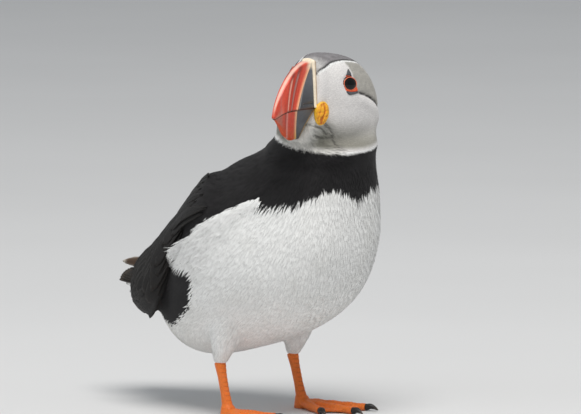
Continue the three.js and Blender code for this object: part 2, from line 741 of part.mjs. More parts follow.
function claw(side, shape) {
  const line = toeLine(side, shape);
  const start = line(1);
  const ahead = start.clone().sub(line(0)).setZ(0).normalize();
  const at = (share) => start.clone().addScaledVector(ahead, GAP + CLAW.length * share);
  const centres = CLAW.stations.map(([share, z]) => at(share).setZ(z));
  const radii = CLAW.stations.map(([, , share]) => share * CLAW.radius);
  return bar(centres, radii, 8).trimByPlane(UP.toArray(), 0);
}

// ---------------------------------------------------------------- assembly
const SIDES = [
  [1, "left"],
  [-1, "right"],
];
const bird = new THREE.Group();
const headGroup = new THREE.Group();
const headFrame = headMatrix();
headGroup.applyMatrix4(headFrame);
bird.add(headGroup);

const neckNormal = vec(NAPE.z - THROAT.z, 0, THROAT.x - NAPE.x); // up into the head
const throatPoint = vec(THROAT.x, 0, THROAT.z);
const neckCut = [neckNormal.clone().transformDirection(headFrame), throatPoint.clone().applyMatrix4(headFrame)];

const whole = bodySolid();
const clearance = bodySolid(GAP);
const neck = keepBehind(keepBeyond(whole, ...sectionPlane(COLLAR_CUT)), ...neckCut);
bird.add(meshOf("neck", neck, "black"));

const trunk = keepBehind(keepBeyond(whole, ...sectionPlane(TAIL_CUT)), ...sectionPlane(COLLAR_CUT));
bird.add(meshOf("torso", trunk, "white"));

const tail = tailSolid().subtract(keepBeyond(clearance, ...sectionPlane(TAIL_CUT)));
bird.add(meshOf("tail", tail, "black"));
const tailSpace = tailRoom();

for (const [side, name] of SIDES) {
  const shape = WINGS[name];
  const wing = wingSolid({ side, line: smoothRows(shape.rows) });
  bird.add(meshOf(`wing_${name}`, wing.subtract(clearance).subtract(tailSpace), "black"));

  const ankle = vec(side * ANKLE.x, ANKLE.y, ANKLE.z);
  const shin = ankle.clone().sub(vec(side * HEEL.x, HEEL.y, HEEL.z));
  bird.add(meshOf(`thigh_${name}`, keepBeyond(thigh(side), shin, ankle).subtract(clearance), "white"));
  const footTop = vec(0, 0, FOOT_TOP);
  bird.add(meshOf(`shank_${name}`, keepBehind(keepBeyond(tarsus(side), UP, footTop), shin, ankle), "orange"));
  bird.add(meshOf(`foot_${name}`, keepBehind(foot(side), UP, footTop), "orange"));
  for (const [toeName, toeShape] of Object.entries(TOES)) {
    bird.add(meshOf(`claw_${name}_${toeName}`, claw(side, toeShape), "claw"));
  }
}

const origin = vec(0, 0, 0);
const rimFront = vec(RIM_THICK, 0, 0);
let head = keepBehind(keepBeyond(headSolid(), neckNormal, throatPoint), baseNormal, origin);

// A part beside the eye or the gape is let into the head, a gap wider all round.
function setInHead(name, build, side, material) {
  head = head.subtract(build(side, GAP));
  headGroup.add(meshOf(name, build(side, 0), material));
}

let upper = keepBeyond(upperBill(), baseNormal, rimFront);
for (const [side, name] of SIDES) {
  setInHead(`eye_${name}`, eyeBall, side, "eye");
  setInHead(`eye_ring_${name}`, eyeRing, side, "red");
  setInHead(`eye_plate_upper_${name}`, upperPlate, side, "slate");
  setInHead(`eye_plate_lower_${name}`, lowerPlate, side, "slate");
  head = head.subtract(eyeCrease(side));
  upper = upper.subtract(nostril(side));
}
const rim = keepBehind(keepBeyond(upperBill(RIM_PROUD), baseNormal, origin), baseNormal, rimFront);
const lower = keepBeyond(lowerBill(), baseNormal, origin);
const gapeRoom = wasm.Manifold.union(SIDES.map(([side]) => rosette(side, GAP)));
for (const [side, name] of SIDES) headGroup.add(meshOf(`rosette_${name}`, rosette(side, 0), "yellow"));
headGroup.add(meshOf("head", head.subtract(gapeRoom), "cheek"));
headGroup.add(meshOf("bill_rim", rim.subtract(gapeRoom), "cream"));
headGroup.add(meshOf("bill_upper", upper.subtract(gapeRoom), "red"));
headGroup.add(meshOf("bill_lower", lower.subtract(gapeRoom), "red"));

// The origin lies on the floor under the middle of the whole bird.
const bounds = new THREE.Box3().setFromObject(bird, true);
const middle = bounds.getCenter(vec(0, 0, 0));
bird.position.set(-middle.x, -middle.y, -bounds.min.z);

const puffin = new THREE.Group();
puffin.add(bird);
export default puffin;
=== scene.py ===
import json
import math

import bmesh
import bpy
import numpy as np
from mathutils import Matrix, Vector
from mathutils.bvhtree import BVHTree
from mathutils.kdtree import KDTree

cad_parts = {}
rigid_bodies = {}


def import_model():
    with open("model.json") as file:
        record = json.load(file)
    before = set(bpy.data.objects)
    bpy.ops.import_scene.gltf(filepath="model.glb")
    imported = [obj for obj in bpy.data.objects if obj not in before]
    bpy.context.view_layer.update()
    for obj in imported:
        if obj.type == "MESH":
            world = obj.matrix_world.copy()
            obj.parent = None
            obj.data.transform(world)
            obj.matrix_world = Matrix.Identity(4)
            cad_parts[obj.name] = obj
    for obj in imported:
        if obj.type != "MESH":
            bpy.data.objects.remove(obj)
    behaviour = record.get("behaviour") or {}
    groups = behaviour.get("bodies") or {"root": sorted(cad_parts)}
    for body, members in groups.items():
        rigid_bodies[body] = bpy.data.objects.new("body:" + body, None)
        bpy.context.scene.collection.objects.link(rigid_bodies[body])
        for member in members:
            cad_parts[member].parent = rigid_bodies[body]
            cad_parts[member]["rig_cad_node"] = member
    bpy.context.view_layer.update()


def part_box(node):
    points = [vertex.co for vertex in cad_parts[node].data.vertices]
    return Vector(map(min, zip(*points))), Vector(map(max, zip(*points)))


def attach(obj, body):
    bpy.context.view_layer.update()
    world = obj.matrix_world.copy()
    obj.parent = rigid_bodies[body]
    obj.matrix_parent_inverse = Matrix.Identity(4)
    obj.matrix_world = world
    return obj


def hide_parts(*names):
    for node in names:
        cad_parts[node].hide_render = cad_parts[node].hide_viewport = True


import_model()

MM = 0.001
UP = np.array([0.0, 0.0, 1.0])
LEFT = np.array([1.0, 0.0, 0.0])
SIDES = {"left": 1, "right": -1}

# ---------------------------------------------------------------- driving dimensions
# Sections from rump to neck: the spine's y and z, half-width, height above and below the spine.
BODY_SECTIONS = [
    (74, 56, 9, 6, 9),
    (60, 58, 20, 14, 25),
    (43, 60, 31, 25, 35.5),
    (22, 66, 39, 36.5, 38.5),
    (3, 76, 43, 44, 43),
    (-15, 88, 42.5, 46.5, 44),
    (-28, 102, 37.5, 43.5, 38),
    (-36, 115.5, 31, 37.5, 29.5),
    (-41, 129, 24.5, 30, 23.5),
    (-45, 142, 21.5, 23, 21.5),
    (-48.5, 153, 20.5, 20, 20),
]
# The same for the form that the folded wings lie on.
WING_SECTIONS = [
    (104, 62, 8, 5, 6),
    (84, 60, 17, 10, 15),
    (62, 60, 28.5, 20, 27),
    (42, 62, 36, 31, 36),
    (22, 68, 41, 40.5, 40),
    (3, 77, 45, 48, 43),
    (-15, 88, 45, 50.5, 44),
    (-28, 102, 40.5, 48, 38.5),
    (-36, 115.5, 33.5, 42, 30),
]
BODY_POWER = 0.88  # 1 makes elliptical sections, less makes them squarer

# The head's own frame starts at the top of the bill's base: x forward, y left, z up.
HEAD_PLACE = np.array([-20.2, -48.8, 177.2])
HEAD_TURN, HEAD_PITCH, HEAD_ROLL = 69.5, 2.5, 7.5
# From nape to bill: x, top, bottom, half-width, how much wider below than above.
HEAD_SECTIONS = [
    (-49.5, -20, -33, 5, 0.05),
    (-47.5, -11, -40, 14, 0.12),
    (-42, -3.8, -45, 21, 0.18),
    (-34, 2, -48, 24.3, 0.19),
    (-24, 3.2, -49, 23, 0.14),
    (-15, 3.4, -48, 20.2, 0.13),
    (-8, 2.4, -46, 15.6, 0.13),
    (-2, 0.6, -43, 11.4, 0.12),
    (4, -2.5, -41, 9.2, 0.05),
    (9, -8, -38.5, 7, 0),
]
HEAD_POWER = 0.78
HEAD_MIDDLE = (-20, 0, -22)
FLOW_FROM = (13, 0, -23)  # the face's feathers point away from here
# Two points of the cut between head and neck.
THROAT = np.array([2.0, 0, -44.0])
NAPE = np.array([-44.0, 0, -30.0])

# The bill's ridge, the line of the mouth and the lower keel, in the head's side view.
CULMEN = [(0, 0), (8, -0.9), (16, -3.8), (23, -8.4), (29, -14.8), (32.4, -21), (33.8, -27)]
MOUTH = [(3, -21.5), (12, -22), (20, -22.7), (27, -24.2), (32.6, -27.4)]
GONYS = [(5.2, -38.2), (11.5, -38.4), (18, -36.2), (24, -32.2), (30.2, -27.8)]
BILL_HALF_WIDTH = 7.6
RIM_THICK = 2.0  # of the cream rim, along the bill
RIM_PROUD = 0.7  # of the rim over the horn
RIDGE_AT = 0.48  # share of the mouth's length where the pale ridge meets it
UPPER_GROOVES = (0.6, 0.68)  # shares along the mouth
LOWER_GROOVES = (0.68,)

EYE_PLACE = (-15.2, -9.6)
EYE_RADIUS = 3.6
EYE_SUNK = 3.9  # depth of the eye's own frame under the head's surface
EYE_FLAT = 0.5  # depth of the visible eye against its radius
EYE_WIDE = 1.2  # length of the eye along the head against its height
EYE_PROUD = -0.05  # height of the eye's middle over the head's surface
EYE_SOCKET = 0.45  # how much deeper the skin lies under the eye
EYE_DENT = {1: 0.0, -1: 1.5}  # how much deeper the face lies round the eye of a side
EYE_LEAN = (0.55, 0.22)  # how the eye looks forward and up, against straight out
ROSETTE = {"x": 0.8, "z": -24, "long": 5.8, "short": 4.0, "thick": 2.2, "turn": -30}
# The furrow behind the eye, in the head's side view.
CREASE = [(-18.5, -13.2), (-22, -13.6), (-27, -14.9), (-33, -17.4), (-39, -21.3), (-43, -25)]

# Rows from wrist to wing tip: section number, angle of the edge at the back and of the lower edge.
ARM_ROWS = [(6.6, 50, 82), (5.5, 27, 78), (4.4, 18, 72), (3.6, 16, 80), (2.9, 17, 104)]
WING_ROWS = {
    "left": ARM_ROWS + [(2.1, 14, 116), (1.4, 2, 96), (0.8, -12, 44), (0.15, -14, 2)],
    "right": ARM_ROWS + [(2.35, 30, 118), (1.95, 50, 125), (1.65, 72, 126), (1.45, 96, 120)],
}
TUCK = 5.0  # how deep the arm's lower edge lies in the plumage of the flank
WORN_PRIMARY = [(-2.2, 72.0, 68.5), (-2.4, 100.6, 67.2)]  # root and tip
TAIL = {
    "root": 57, "tip": 96.5, "root_z": 57.5, "tip_z": 63.5, "root_wide": 6.5, "tip_wide": 12.5, "arch": 2.6,
}
# Tips of the loose under tail coverts of the left side.
TAIL_TUFTS = [(10, 90, 57.6), (10, 87.5, 53.6), (9, 84.5, 51.4), (9, 80, 48.6)]

HEEL = np.array([25.5, 2.0, 4.5])
HEEL_PAD = 4.0  # how far the foot reaches back from the heel's middle
# Places and radii along the left thigh.
THIGH = [((25, 8, 25), 4.4), ((25, 7.5, 29), 6.2), ((25, 5, 38), 9), ((25, 1, 52), 13)]
THIGH_NARROW = 0.85

# Where the flank's black meets white, on the body: section numbers against degrees from the back.
FLANK_LINE = [
    (0, 78), (0.9, 92), (1.2, 114), (2.0, 118), (2.5, 113), (3.05, 105), (3.3, 98), (3.5, 88), (3.7, 72),
    (4.4, 70), (5.1, 73.5), (5.8, 79.5), (6.2, 86),
]
# The lower border of the black collar: degrees from the back against section numbers.
COLLAR_LINE = [(83, 6.18), (93, 6.48), (110, 6.85), (127, 7.18), (140, 7.5), (157, 7.58), (180, 7.33)]
# The loose feathers of the flank that lie over the wing: section numbers against first and last degree.
FLUFF_TOP = [(2.4, 64), (2.7, 65), (3.6, 69), (4.4, 71), (5.1, 74.5), (5.8, 79.5), (6.2, 85)]
FLUFF_LOW = [(2.4, 76), (3.0, 86), (3.5, 96), (4.4, 94), (5.8, 87), (6.2, 90)]
FLUFF_COUNT = 2100
FLUFF_START, FLUFF_SPAN = 2.56, 3.6  # section numbers of their tips
SECTIONS_PER_MM = 0.052  # of the flank
# The face's upper border on the head: distance along the bill's axis against degrees from the crown.
FACE_TOP = [
    (-45, 100), (-43, 77), (-40, 61), (-36, 43.6), (-31, 25), (-24, 22.5), (-15, 21.3), (-8, 19.2),
    (-3.5, 20.3), (1, 18.2), (6, 17),
]
# Its lower border: distance along the same axis against height.
FACE_LOW = [
    (-46, -24), (-44, -27.5), (-40, -32), (-32, -37.5), (-18, -40.7), (-6.5, -42.7), (-2, -43.3), (12, -43.3),
]
# Wrinkles of the chin, in its side view.
CHIN_CREASES = [
    [(4, -30.2), (-1.5, -31.2), (-4.5, -34)],
    [(-1.2, -27.4), (-3.2, -30), (-6, -31.5)],
    [(2, -34.5), (-3, -36.2), (-7, -35.6)],
    [(-3.4, -28.6), (-7.5, -34), (-9, -40)],
]

SKIN_CELL = 1.1  # width of the skin's faces
LEG_CELL = 0.42
TRIES = 2.6  # random places tried for each tuft's room
SIGHT = 14  # how far a line is followed to find what it meets
OVERLAP = 1.2  # of head and neck where they are joined
BASE_INSET = 0.6  # how far the head reaches into the bill
SEED = 20


# ---------------------------------------------------------------- helpers
def unit(v):
    return v / np.maximum(np.linalg.norm(v, axis=-1, keepdims=True), 1e-9)


def mix(a, b, t):
    return a + (b - a) * t


def blend(a, b, shares):
    """Mixes colours or directions, with a share for each point."""
    return mix(a, b, np.asarray(shares)[..., None])


def smooth(x, low, high):
    """0 at low and 1 at high, with soft ends; high may be the smaller one."""
    t = np.clip((x - low) / (high - low), 0, 1)
    return t * t * (3 - 2 * t)


def signed_power(value, power):
    return np.sign(value) * np.abs(value) ** power


def along_line(x, pairs):
    xs, ys = zip(*sorted(pairs))
    return np.interp(x, xs, ys)


def linear(*srgb):
    """A colour as seen, 0 to 255, in linear light."""
    c = np.array(srgb, float) / 255
    return np.where(c <= 0.04045, c / 12.92, ((c + 0.055) / 1.055) ** 2.4)


def grid(rows, columns):
    return np.meshgrid(rows, columns, indexing="ij")


def turns(count):
    """Evenly spread angles of a full circle, for an even count."""
    return np.arange(count) * math.pi / (count // 2)


rng = np.random.default_rng(SEED)
LATTICE_SIZE = 32
LATTICE = rng.random((LATTICE_SIZE,) * 3)


def noise(points, size):
    """Smooth noise from 0 to 1 with features of about this size."""
    q = np.asarray(points) / size
    cell = np.floor(q).astype(int)
    f = q - cell
    f = f * f * (3 - 2 * f)
    total = 0
    for corner in np.ndindex(2, 2, 2):
        i = (cell + corner) % LATTICE_SIZE
        weight = np.prod(np.where(corner, f, 1 - f), axis=-1)
        total = total + weight * LATTICE[i[..., 0], i[..., 1], i[..., 2]]
    return total


class Rows:
    """A smooth curve through rows of numbers; at(k) takes row numbers, whole or not."""

    def __init__(self, rows):
        r = np.array(rows, float)
        self.last = len(r) - 1
        self.padded = np.vstack([2 * r[0] - r[1], r, 2 * r[-1] - r[-2]])

    def at(self, k):
        k = np.clip(np.asarray(k, float), 0, self.last)
        i = np.minimum(k.astype(int), self.last - 1)
        t = (k - i)[..., None]
        p0, p1, p2, p3 = (self.padded[i + n] for n in range(4))
        a, b = (p2 - p0) / 2, (p3 - p1) / 2
        return p1 + a * t + (3 * (p2 - p1) - 2 * a - b) * t**2 + (2 * (p1 - p2) + a + b) * t**3

    def along(self, k):
        return unit(self.at(k + 0.5) - self.at(np.asarray(k) - 0.5))


class Envelope:
    """Points round a spine: section number, degrees from the back to the left, height off the surface."""

    def __init__(self, sections):
        self.spine = Rows([(0, s[0], s[1]) for s in sections])
        self.girth = Rows([s[2:] for s in sections])

    def point(self, section, degrees, height=0.0):
        section, degrees, height = np.broadcast_arrays(np.asarray(section, float), degrees, height)
        angle = np.radians(degrees)
        up = np.cross(self.spine.along(section), LEFT)
        wide, above, below = np.moveaxis(self.girth.at(section), -1, 0)
        tall = np.where(np.cos(angle) > 0, above, below) + height
        out = LEFT * ((wide + height) * signed_power(np.sin(angle), BODY_POWER))[..., None]
        rise = up * (tall * signed_power(np.cos(angle), BODY_POWER))[..., None]
        return self.spine.at(section) + out + rise


# Directions across the bill's base and across the cut between head and neck, in the head's frame.
BASE_NORMAL = unit(np.array([-GONYS[0][1], 0, GONYS[0][0]], float))
NECK_NORMAL = unit(np.array([NAPE[2] - THROAT[2], 0, THROAT[0] - NAPE[0]]))
body = Envelope(BODY_SECTIONS)
wing_bed = Envelope(WING_SECTIONS)


# ---------------------------------------------------------------- the head's frame
def head_axes():
    turn, pitch, roll = np.radians([HEAD_TURN, HEAD_PITCH, HEAD_ROLL])
    forward = np.array([-math.sin(turn), -math.cos(turn), 0]) * math.cos(pitch) + UP * math.sin(pitch)
    level = unit(np.cross(UP, forward))
    upright = np.cross(forward, level)
    crown = upright * math.cos(roll) + level * math.sin(roll)
    return np.array([forward, np.cross(crown, forward), crown])


HEAD_AXES = head_axes()
head_line = Rows([s[:3] for s in HEAD_SECTIONS])
head_girth = Rows([s[3:] for s in HEAD_SECTIONS])


def from_head(points):
    return HEAD_PLACE + np.asarray(points) @ HEAD_AXES


def to_head(points):
    return (np.asarray(points) - HEAD_PLACE) @ HEAD_AXES.T


STEPS = np.linspace(0, head_line.last, 400)
STEP_LINE = head_line.at(STEPS)
STEP_GIRTH = head_girth.at(STEPS)


def head_section(x):
    """Top, bottom, half-width and pear of the head at a distance along its axis."""
    values = np.hstack([STEP_LINE[:, 1:], STEP_GIRTH])
    return [np.interp(x, STEP_LINE[:, 0], values[:, i]) for i in range(4)]


def skin_at(x, z):
    """How far out the head's surface lies at a place in its side view."""
    top, bottom, wide, pear = head_section(x)
    share = np.clip((z - (top + bottom) / 2) / ((top - bottom) / 2), -1, 1)
    cosine = signed_power(share, 1 / HEAD_POWER)
    return wide * np.sqrt(1 - cosine * cosine) ** HEAD_POWER * (1 - pear * cosine)


def crown_angle(q):
    """Degrees from the crown of a place on the head, the same on both sides."""
    top, bottom, _, _ = head_section(q[..., 0])
    return np.degrees(np.arctan2(np.abs(q[..., 1]), q[..., 2] - (top + bottom) / 2))


# ---------------------------------------------------------------- making meshes
foot_low, foot_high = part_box("foot_left")
other_low, other_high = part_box("foot_right")
SHIFT = np.array([
    (foot_low.x + foot_high.x + other_low.x + other_high.x) / 4,
    foot_high.y - (HEEL[1] + HEEL_PAD) * MM,
    0.0,
])


def add_mesh(name, points, faces, tint=None, normals=None, uvs=None):
    """A mesh object from millimetre points; faces is one or more arrays of corners, uvs are per corner."""
    groups = [np.asarray(f) for f in (faces if isinstance(faces, list) else [faces])]
    corners = np.concatenate([f.ravel() for f in groups])
    sizes = np.concatenate([np.full(len(f), f.shape[1]) for f in groups])
    mesh = bpy.data.meshes.new(name)
    mesh.vertices.add(len(points))
    mesh.vertices.foreach_set("co", (np.asarray(points) * MM + SHIFT).astype(np.float32).ravel())
    mesh.loops.add(len(corners))
    mesh.loops.foreach_set("vertex_index", corners.astype(np.int32))
    mesh.polygons.add(len(sizes))
    mesh.polygons.foreach_set("loop_start", np.concatenate([[0], np.cumsum(sizes)[:-1]]).astype(np.int32))
    mesh.polygons.foreach_set("loop_total", sizes.astype(np.int32))
    mesh.polygons.foreach_set("use_smooth", np.ones(len(sizes), bool))
    mesh.update(calc_edges=True)
    if tint is not None:
        layer = mesh.color_attributes.new("Tint", "FLOAT_COLOR", "POINT")
        rgba = np.hstack([np.clip(tint, 0, 1), np.ones((len(points), 1))])
        layer.data.foreach_set("color", rgba.astype(np.float32).ravel())
    for uv_name, uv in (uvs or {}).items():
        layer = mesh.uv_layers.new(name=uv_name)
        layer.data.foreach_set("uv", np.asarray(uv).astype(np.float32).ravel())
    if normals is not None:
        mesh.normals_split_custom_set_from_vertices(normals.tolist())
    piece = bpy.data.objects.new(name, mesh)
    bpy.context.collection.objects.link(piece)
    return piece


def finish_piece(piece, material, slot, *nodes):
    piece.data.materials.append(material)
    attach(piece, "root")
    if nodes:
        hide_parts(*nodes)


def tube_faces(rings, sides):
    """Four-cornered faces round a tube and fans at its ends, whose centres come last."""
    ring, side = grid(np.arange(rings - 1), np.arange(sides))
    a = ring * sides + side
    b = ring * sides + (side + 1) % sides
    walls = np.stack([a, b, b + sides, a + sides], -1).reshape(-1, 4)
    j = np.arange(sides)
    after = (j + 1) % sides
    start, end = rings * sides, rings * sides + 1
    top = (rings - 1) * sides
    fans = np.concatenate([
        np.stack([np.full(sides, start), after, j], -1),
        np.stack([np.full(sides, end), top + j, top + after], -1),
    ])
    return [walls, fans]


def tube_points(rings):
    """Points of a tube, or their colours, from an array of rings, with the middles of its ends."""
    return np.vstack([rings.reshape(-1, 3), rings[0].mean(0), rings[-1].mean(0)])


def add_tube(name, rings, tints, turned=False):
    """A closed tube from its rings and their colours; turned makes its faces point the other way."""
    faces = tube_faces(*rings.shape[:2])
    if turned:
        faces = [f[:, ::-1] for f in faces]
    return add_mesh(name, tube_points(rings), faces, tube_points(tints))


def bar_rings(centres, radii, sides, narrow=1.0):
    centres = np.asarray(centres, float)
    radii = np.asarray(radii, float)[:, None, None]
    ahead = unit(np.gradient(centres, axis=0))
    side = unit(LEFT - ahead * ahead[:, :1])
    up = np.cross(ahead, side)
    angle = np.linspace(0, 2 * math.pi, sides, endpoint=False)[None, :, None]
    ring = side[:, None] * narrow * np.cos(angle) + up[:, None] * np.sin(angle)
    return centres[:, None] + radii * ring


def sheet_quads(rows, columns):
    i, j = grid(np.arange(rows - 1), np.arange(columns - 1))
    a = (i * columns + j).ravel()
    return np.stack([a, a + 1, a + columns + 1, a + columns], -1)


def slab(upper, lower):
    """Points and faces of two grids joined at the upper one's rim, and which points lie inside the rim."""
    rows, columns = upper.shape[:2]
    i, j = grid(np.arange(rows), np.arange(columns))
    inner = ((i > 0) & (i < rows - 1) & (j > 0) & (j < columns - 1)).ravel()
    below = np.arange(rows * columns)
    below[inner] = rows * columns + np.arange(inner.sum())
    quads = sheet_quads(rows, columns)
    faces = np.vstack([quads, below[quads][:, ::-1]])
    return np.vstack([upper.reshape(-1, 3), lower.reshape(-1, 3)[inner]]), faces, inner


def on_slab(values, inner):
    """A grid's values at the points of both faces of a slab."""
    flat = values.reshape(-1, values.shape[-1])
    return np.vstack([flat, flat[inner]])


def cut_off(bm, point, normal):
    """Cuts away what lies beyond a plane, and closes the cut."""
    cut = bmesh.ops.bisect_plane(bm, geom=bm.verts[:] + bm.edges[:] + bm.faces[:], plane_co=point,
                                 plane_no=normal, clear_outer=True)
    rim = [e for e in cut["geom_cut"] if isinstance(e, bmesh.types.BMEdge)]
    bmesh.ops.contextual_create(bm, geom=rim)


# ---------------------------------------------------------------- materials
def new_material(name, roughness, **settings):
    material = bpy.data.materials.new(name)
    material.use_nodes = True
    shader = material.node_tree.nodes["Principled BSDF"]
    shader.inputs["Roughness"].default_value = roughness
    for socket, value in settings.items():
        shader.inputs[socket.replace("_", " ")].default_value = value
    return material, material.node_tree, shader


def node(tree, kind, inputs=None, **settings):
    made = tree.nodes.new(kind)
    for key, value in settings.items():
        setattr(made, key, value)
    for key, value in (inputs or {}).items():
        if isinstance(value, bpy.types.NodeSocket):
            tree.links.new(value, made.inputs[key])
        else:
            made.inputs[key].default_value = value
    return made


def add_bump(tree, shader, height, depth, strength, under=None):
    """Gives a shader a bump of a depth in millimetres, over another bump if there is one."""
    inputs = {"Height": height, "Distance": depth * MM, "Strength": strength}
    if under:
        inputs["Normal"] = under.outputs["Normal"]
    made = node(tree, "ShaderNodeBump", inputs)
    tree.links.new(made.outputs["Normal"], shader.inputs["Normal"])
    return made


def tinted(name, roughness, grain, depth, spread, **settings):
    """A material that takes its colour from the mesh, with fine mottling and bump of one grain size."""
    material, tree, shader = new_material(name, roughness, **settings)
    tint = node(tree, "ShaderNodeAttribute", attribute_name="Tint")
    place = node(tree, "ShaderNodeTexCoord").outputs["Object"]
    fine = node(tree, "ShaderNodeTexNoise", {"Vector": place, "Scale": 1 / (grain * MM), "Detail": 3.0})
    level = node(tree, "ShaderNodeMapRange", {
        "Value": fine.outputs["Fac"], "From Min": 0.3, "From Max": 0.7,
        "To Min": 1 - spread, "To Max": 1 + spread,
    })
    colour = node(tree, "ShaderNodeVectorMath", {0: tint.outputs["Color"], 1: level.outputs["Result"]},
                  operation="MULTIPLY")
    tree.links.new(colour.outputs["Vector"], shader.inputs["Base Color"])
    relief = add_bump(tree, shader, fine.outputs["Fac"], depth, 1.0)
    return material, tree, shader, relief


def plumage_material():
    return tinted("Plumage", 0.85, 0.5, 0.04, 0.07, Sheen_Weight=0.08, Specular_IOR_Level=0.18)[0]


def vane_material():
    """Flight feathers: fine barbs that run out from the shaft, in the bump."""
    material, tree, shader, relief = tinted("Vane", 0.62, 0.6, 0.03, 0.14,
                                            Sheen_Weight=0.04, Specular_IOR_Level=0.22)
    place = node(tree, "ShaderNodeUVMap", uv_map="Barbs").outputs["UV"]
    barbs = node(tree, "ShaderNodeTexWave", {"Vector": place, "Scale": 1.0, "Distortion": 1.2, "Detail": 1.0},
                 bands_direction="Y")
    add_bump(tree, shader, barbs.outputs["Fac"], 0.07, 0.8, relief)
    return material


def horn_material():
    return tinted("Horn", 0.4, 1.4, 0.07, 0.08,
                  Coat_Weight=0.08, Coat_Roughness=0.3, Specular_IOR_Level=0.35)[0]


def wattle_material():
    return tinted("Wattle", 0.5, 0.7, 0.12, 0.12, Subsurface_Weight=0.15, Subsurface_Scale=0.001)[0]


def scale_material():
    """Scaly skin of the feet: small plates with grooves between them, in the bump."""
    material, tree, shader, relief = tinted("Scales", 0.45, 0.8, 0.05, 0.1,
                                            Subsurface_Weight=0.1, Subsurface_Scale=0.001)
    place = node(tree, "ShaderNodeTexCoord").outputs["Object"]
    plates = node(tree, "ShaderNodeTexVoronoi", {"Vector": place, "Scale": 1 / (1.3 * MM)},
                  feature="DISTANCE_TO_EDGE")
    height = node(tree, "ShaderNodeMapRange", {"Value": plates.outputs["Distance"], "From Max": 0.12})
    add_bump(tree, shader, height.outputs["Result"], 0.16, 0.9, relief)
    return material


def eye_material():
    return tinted("Eye", 0.07, 2.0, 0.0, 0.05, Specular_IOR_Level=0.3)[0]


PLUMAGE = plumage_material()
VANES = vane_material()
HORN = horn_material()
WATTLE = wattle_material()
SCALES = scale_material()
EYES = eye_material()

WHITE = linear(238, 238, 236)
GREY_WHITE = linear(212, 211, 205)
CHEEK = linear(226, 223, 221)
BEHIND_EYE = linear(168, 165, 158)
CROWN = linear(128, 125, 127)
FOREHEAD = linear(190, 188, 186)
BLACK = linear(31, 30, 31)
# Dark line of the crown's border with the face; also painted shade in the furrow behind the eye and in the
# chin's wrinkles.
LINE = linear(46, 44, 44)
WING_BLACK = linear(25, 23, 22)
WORN = linear(112, 98, 84)
# How much darker the face is painted under the cheek: painted shade towards the jaw.
PAINTED_JAW_SHADE = linear(150, 150, 142) / linear(235, 235, 235)


# ---------------------------------------------------------------- wings
class Wing:
    """A folded wing's surface: share from wrist to tip, share from the back edge down, height."""

    def __init__(self, name):
        self.side = SIDES[name]
        self.rows = Rows(WING_ROWS[name])

    def __call__(self, along, down, height):
        along, down, height = np.broadcast_arrays(np.asarray(along, float), down, height)
        row = self.rows.at(along * self.rows.last)
        covered = smooth(down, 0.66, 1) * (1 - smooth(along, 0.38, 0.52))
        degrees = mix(row[..., 1], row[..., 2], down) * self.side
        return wing_bed.point(row[..., 0], degrees, height - TUCK * covered)


wings = {name: Wing(name) for name in SIDES}


def wing_sheet(wing, height, start, end, rows, columns):
    return wing(*grid(np.linspace(start, end, rows), np.linspace(0, 1, columns)), height)


def arm(wing):
    """The folded arm under the coverts: a thick sheet let into the body, low at its edges."""
    along, down = grid(np.linspace(0, 0.78, 44), np.linspace(-0.5, 1, 40))
    edge = smooth(along, 0.12, 0) * 4 + smooth(along, 0.4, 0.78) * 4 + smooth(down, 0.14, -0.5) * 8
    points, faces, _ = slab(wing(along, down, 0.6 - edge), wing(along, down, -13))
    return points, faces if wing.side < 0 else faces[:, ::-1]


# ---------------------------------------------------------------- skin
def skull_rings():
    section = np.linspace(0, head_line.last, 73)
    x, top, bottom = np.moveaxis(head_line.at(section), -1, 0)[..., None]
    wide, pear = np.moveaxis(head_girth.at(section), -1, 0)[..., None]
    angle = turns(96)
    cosine, sine = signed_power(np.cos(angle), HEAD_POWER), signed_power(np.sin(angle), HEAD_POWER)
    across = wide * sine * (1 - pear * np.cos(angle))
    rise = (top + bottom) / 2 + (top - bottom) / 2 * cosine
    return from_head(np.stack([np.broadcast_to(x, rise.shape), across, rise], -1))


def cut_tube(rings, cuts):
    """Points and faces of a closed tube, without what lies beyond each cut, a point and a normal."""
    bm = bmesh.new()
    made = [bm.verts.new(p) for p in tube_points(rings)]
    for group in tube_faces(*rings.shape[:2]):
        for face in group:
            bm.faces.new([made[i] for i in face])
    for point, normal in cuts:
        cut_off(bm, point, normal)
    bm.verts.index_update()
    points = [v.co[:] for v in bm.verts]
    faces = [[v.index for v in f.verts] for f in bm.faces]
    bm.free()
    return points, faces


def joined_skin():
    """Body, head, thighs and the arms of the wings as overlapping closed forms in one mesh."""
    seam, away = from_head(THROAT), NECK_NORMAL @ HEAD_AXES
    base = BASE_NORMAL @ HEAD_AXES
    trunk = body.point(*grid(np.linspace(0, 10, 121), np.arange(96) * 3.75))
    parts = [
        cut_tube(trunk, [(seam + away * OVERLAP, away)]),
        cut_tube(skull_rings(), [(seam - away * OVERLAP, -away), (HEAD_PLACE + base * BASE_INSET, base)]),
    ]
    for side in SIDES.values():
        stations = np.array([(side * x, y, z, radius) for (x, y, z), radius in THIGH])
        spine = Rows(stations).at(np.linspace(0, 3, 16))
        parts.append(cut_tube(bar_rings(spine[:, :3], spine[:, 3], 40, THIGH_NARROW), []))
    for wing in wings.values():
        parts.append(arm(wing))
    points, faces = [], []
    for more_points, more_faces in parts:
        start = len(points)
        points += list(map(tuple, more_points))
        faces += [[start + i for i in f] for f in more_faces]
    mesh = bpy.data.meshes.new("union")
    mesh.from_pydata(points, [], faces)
    return mesh


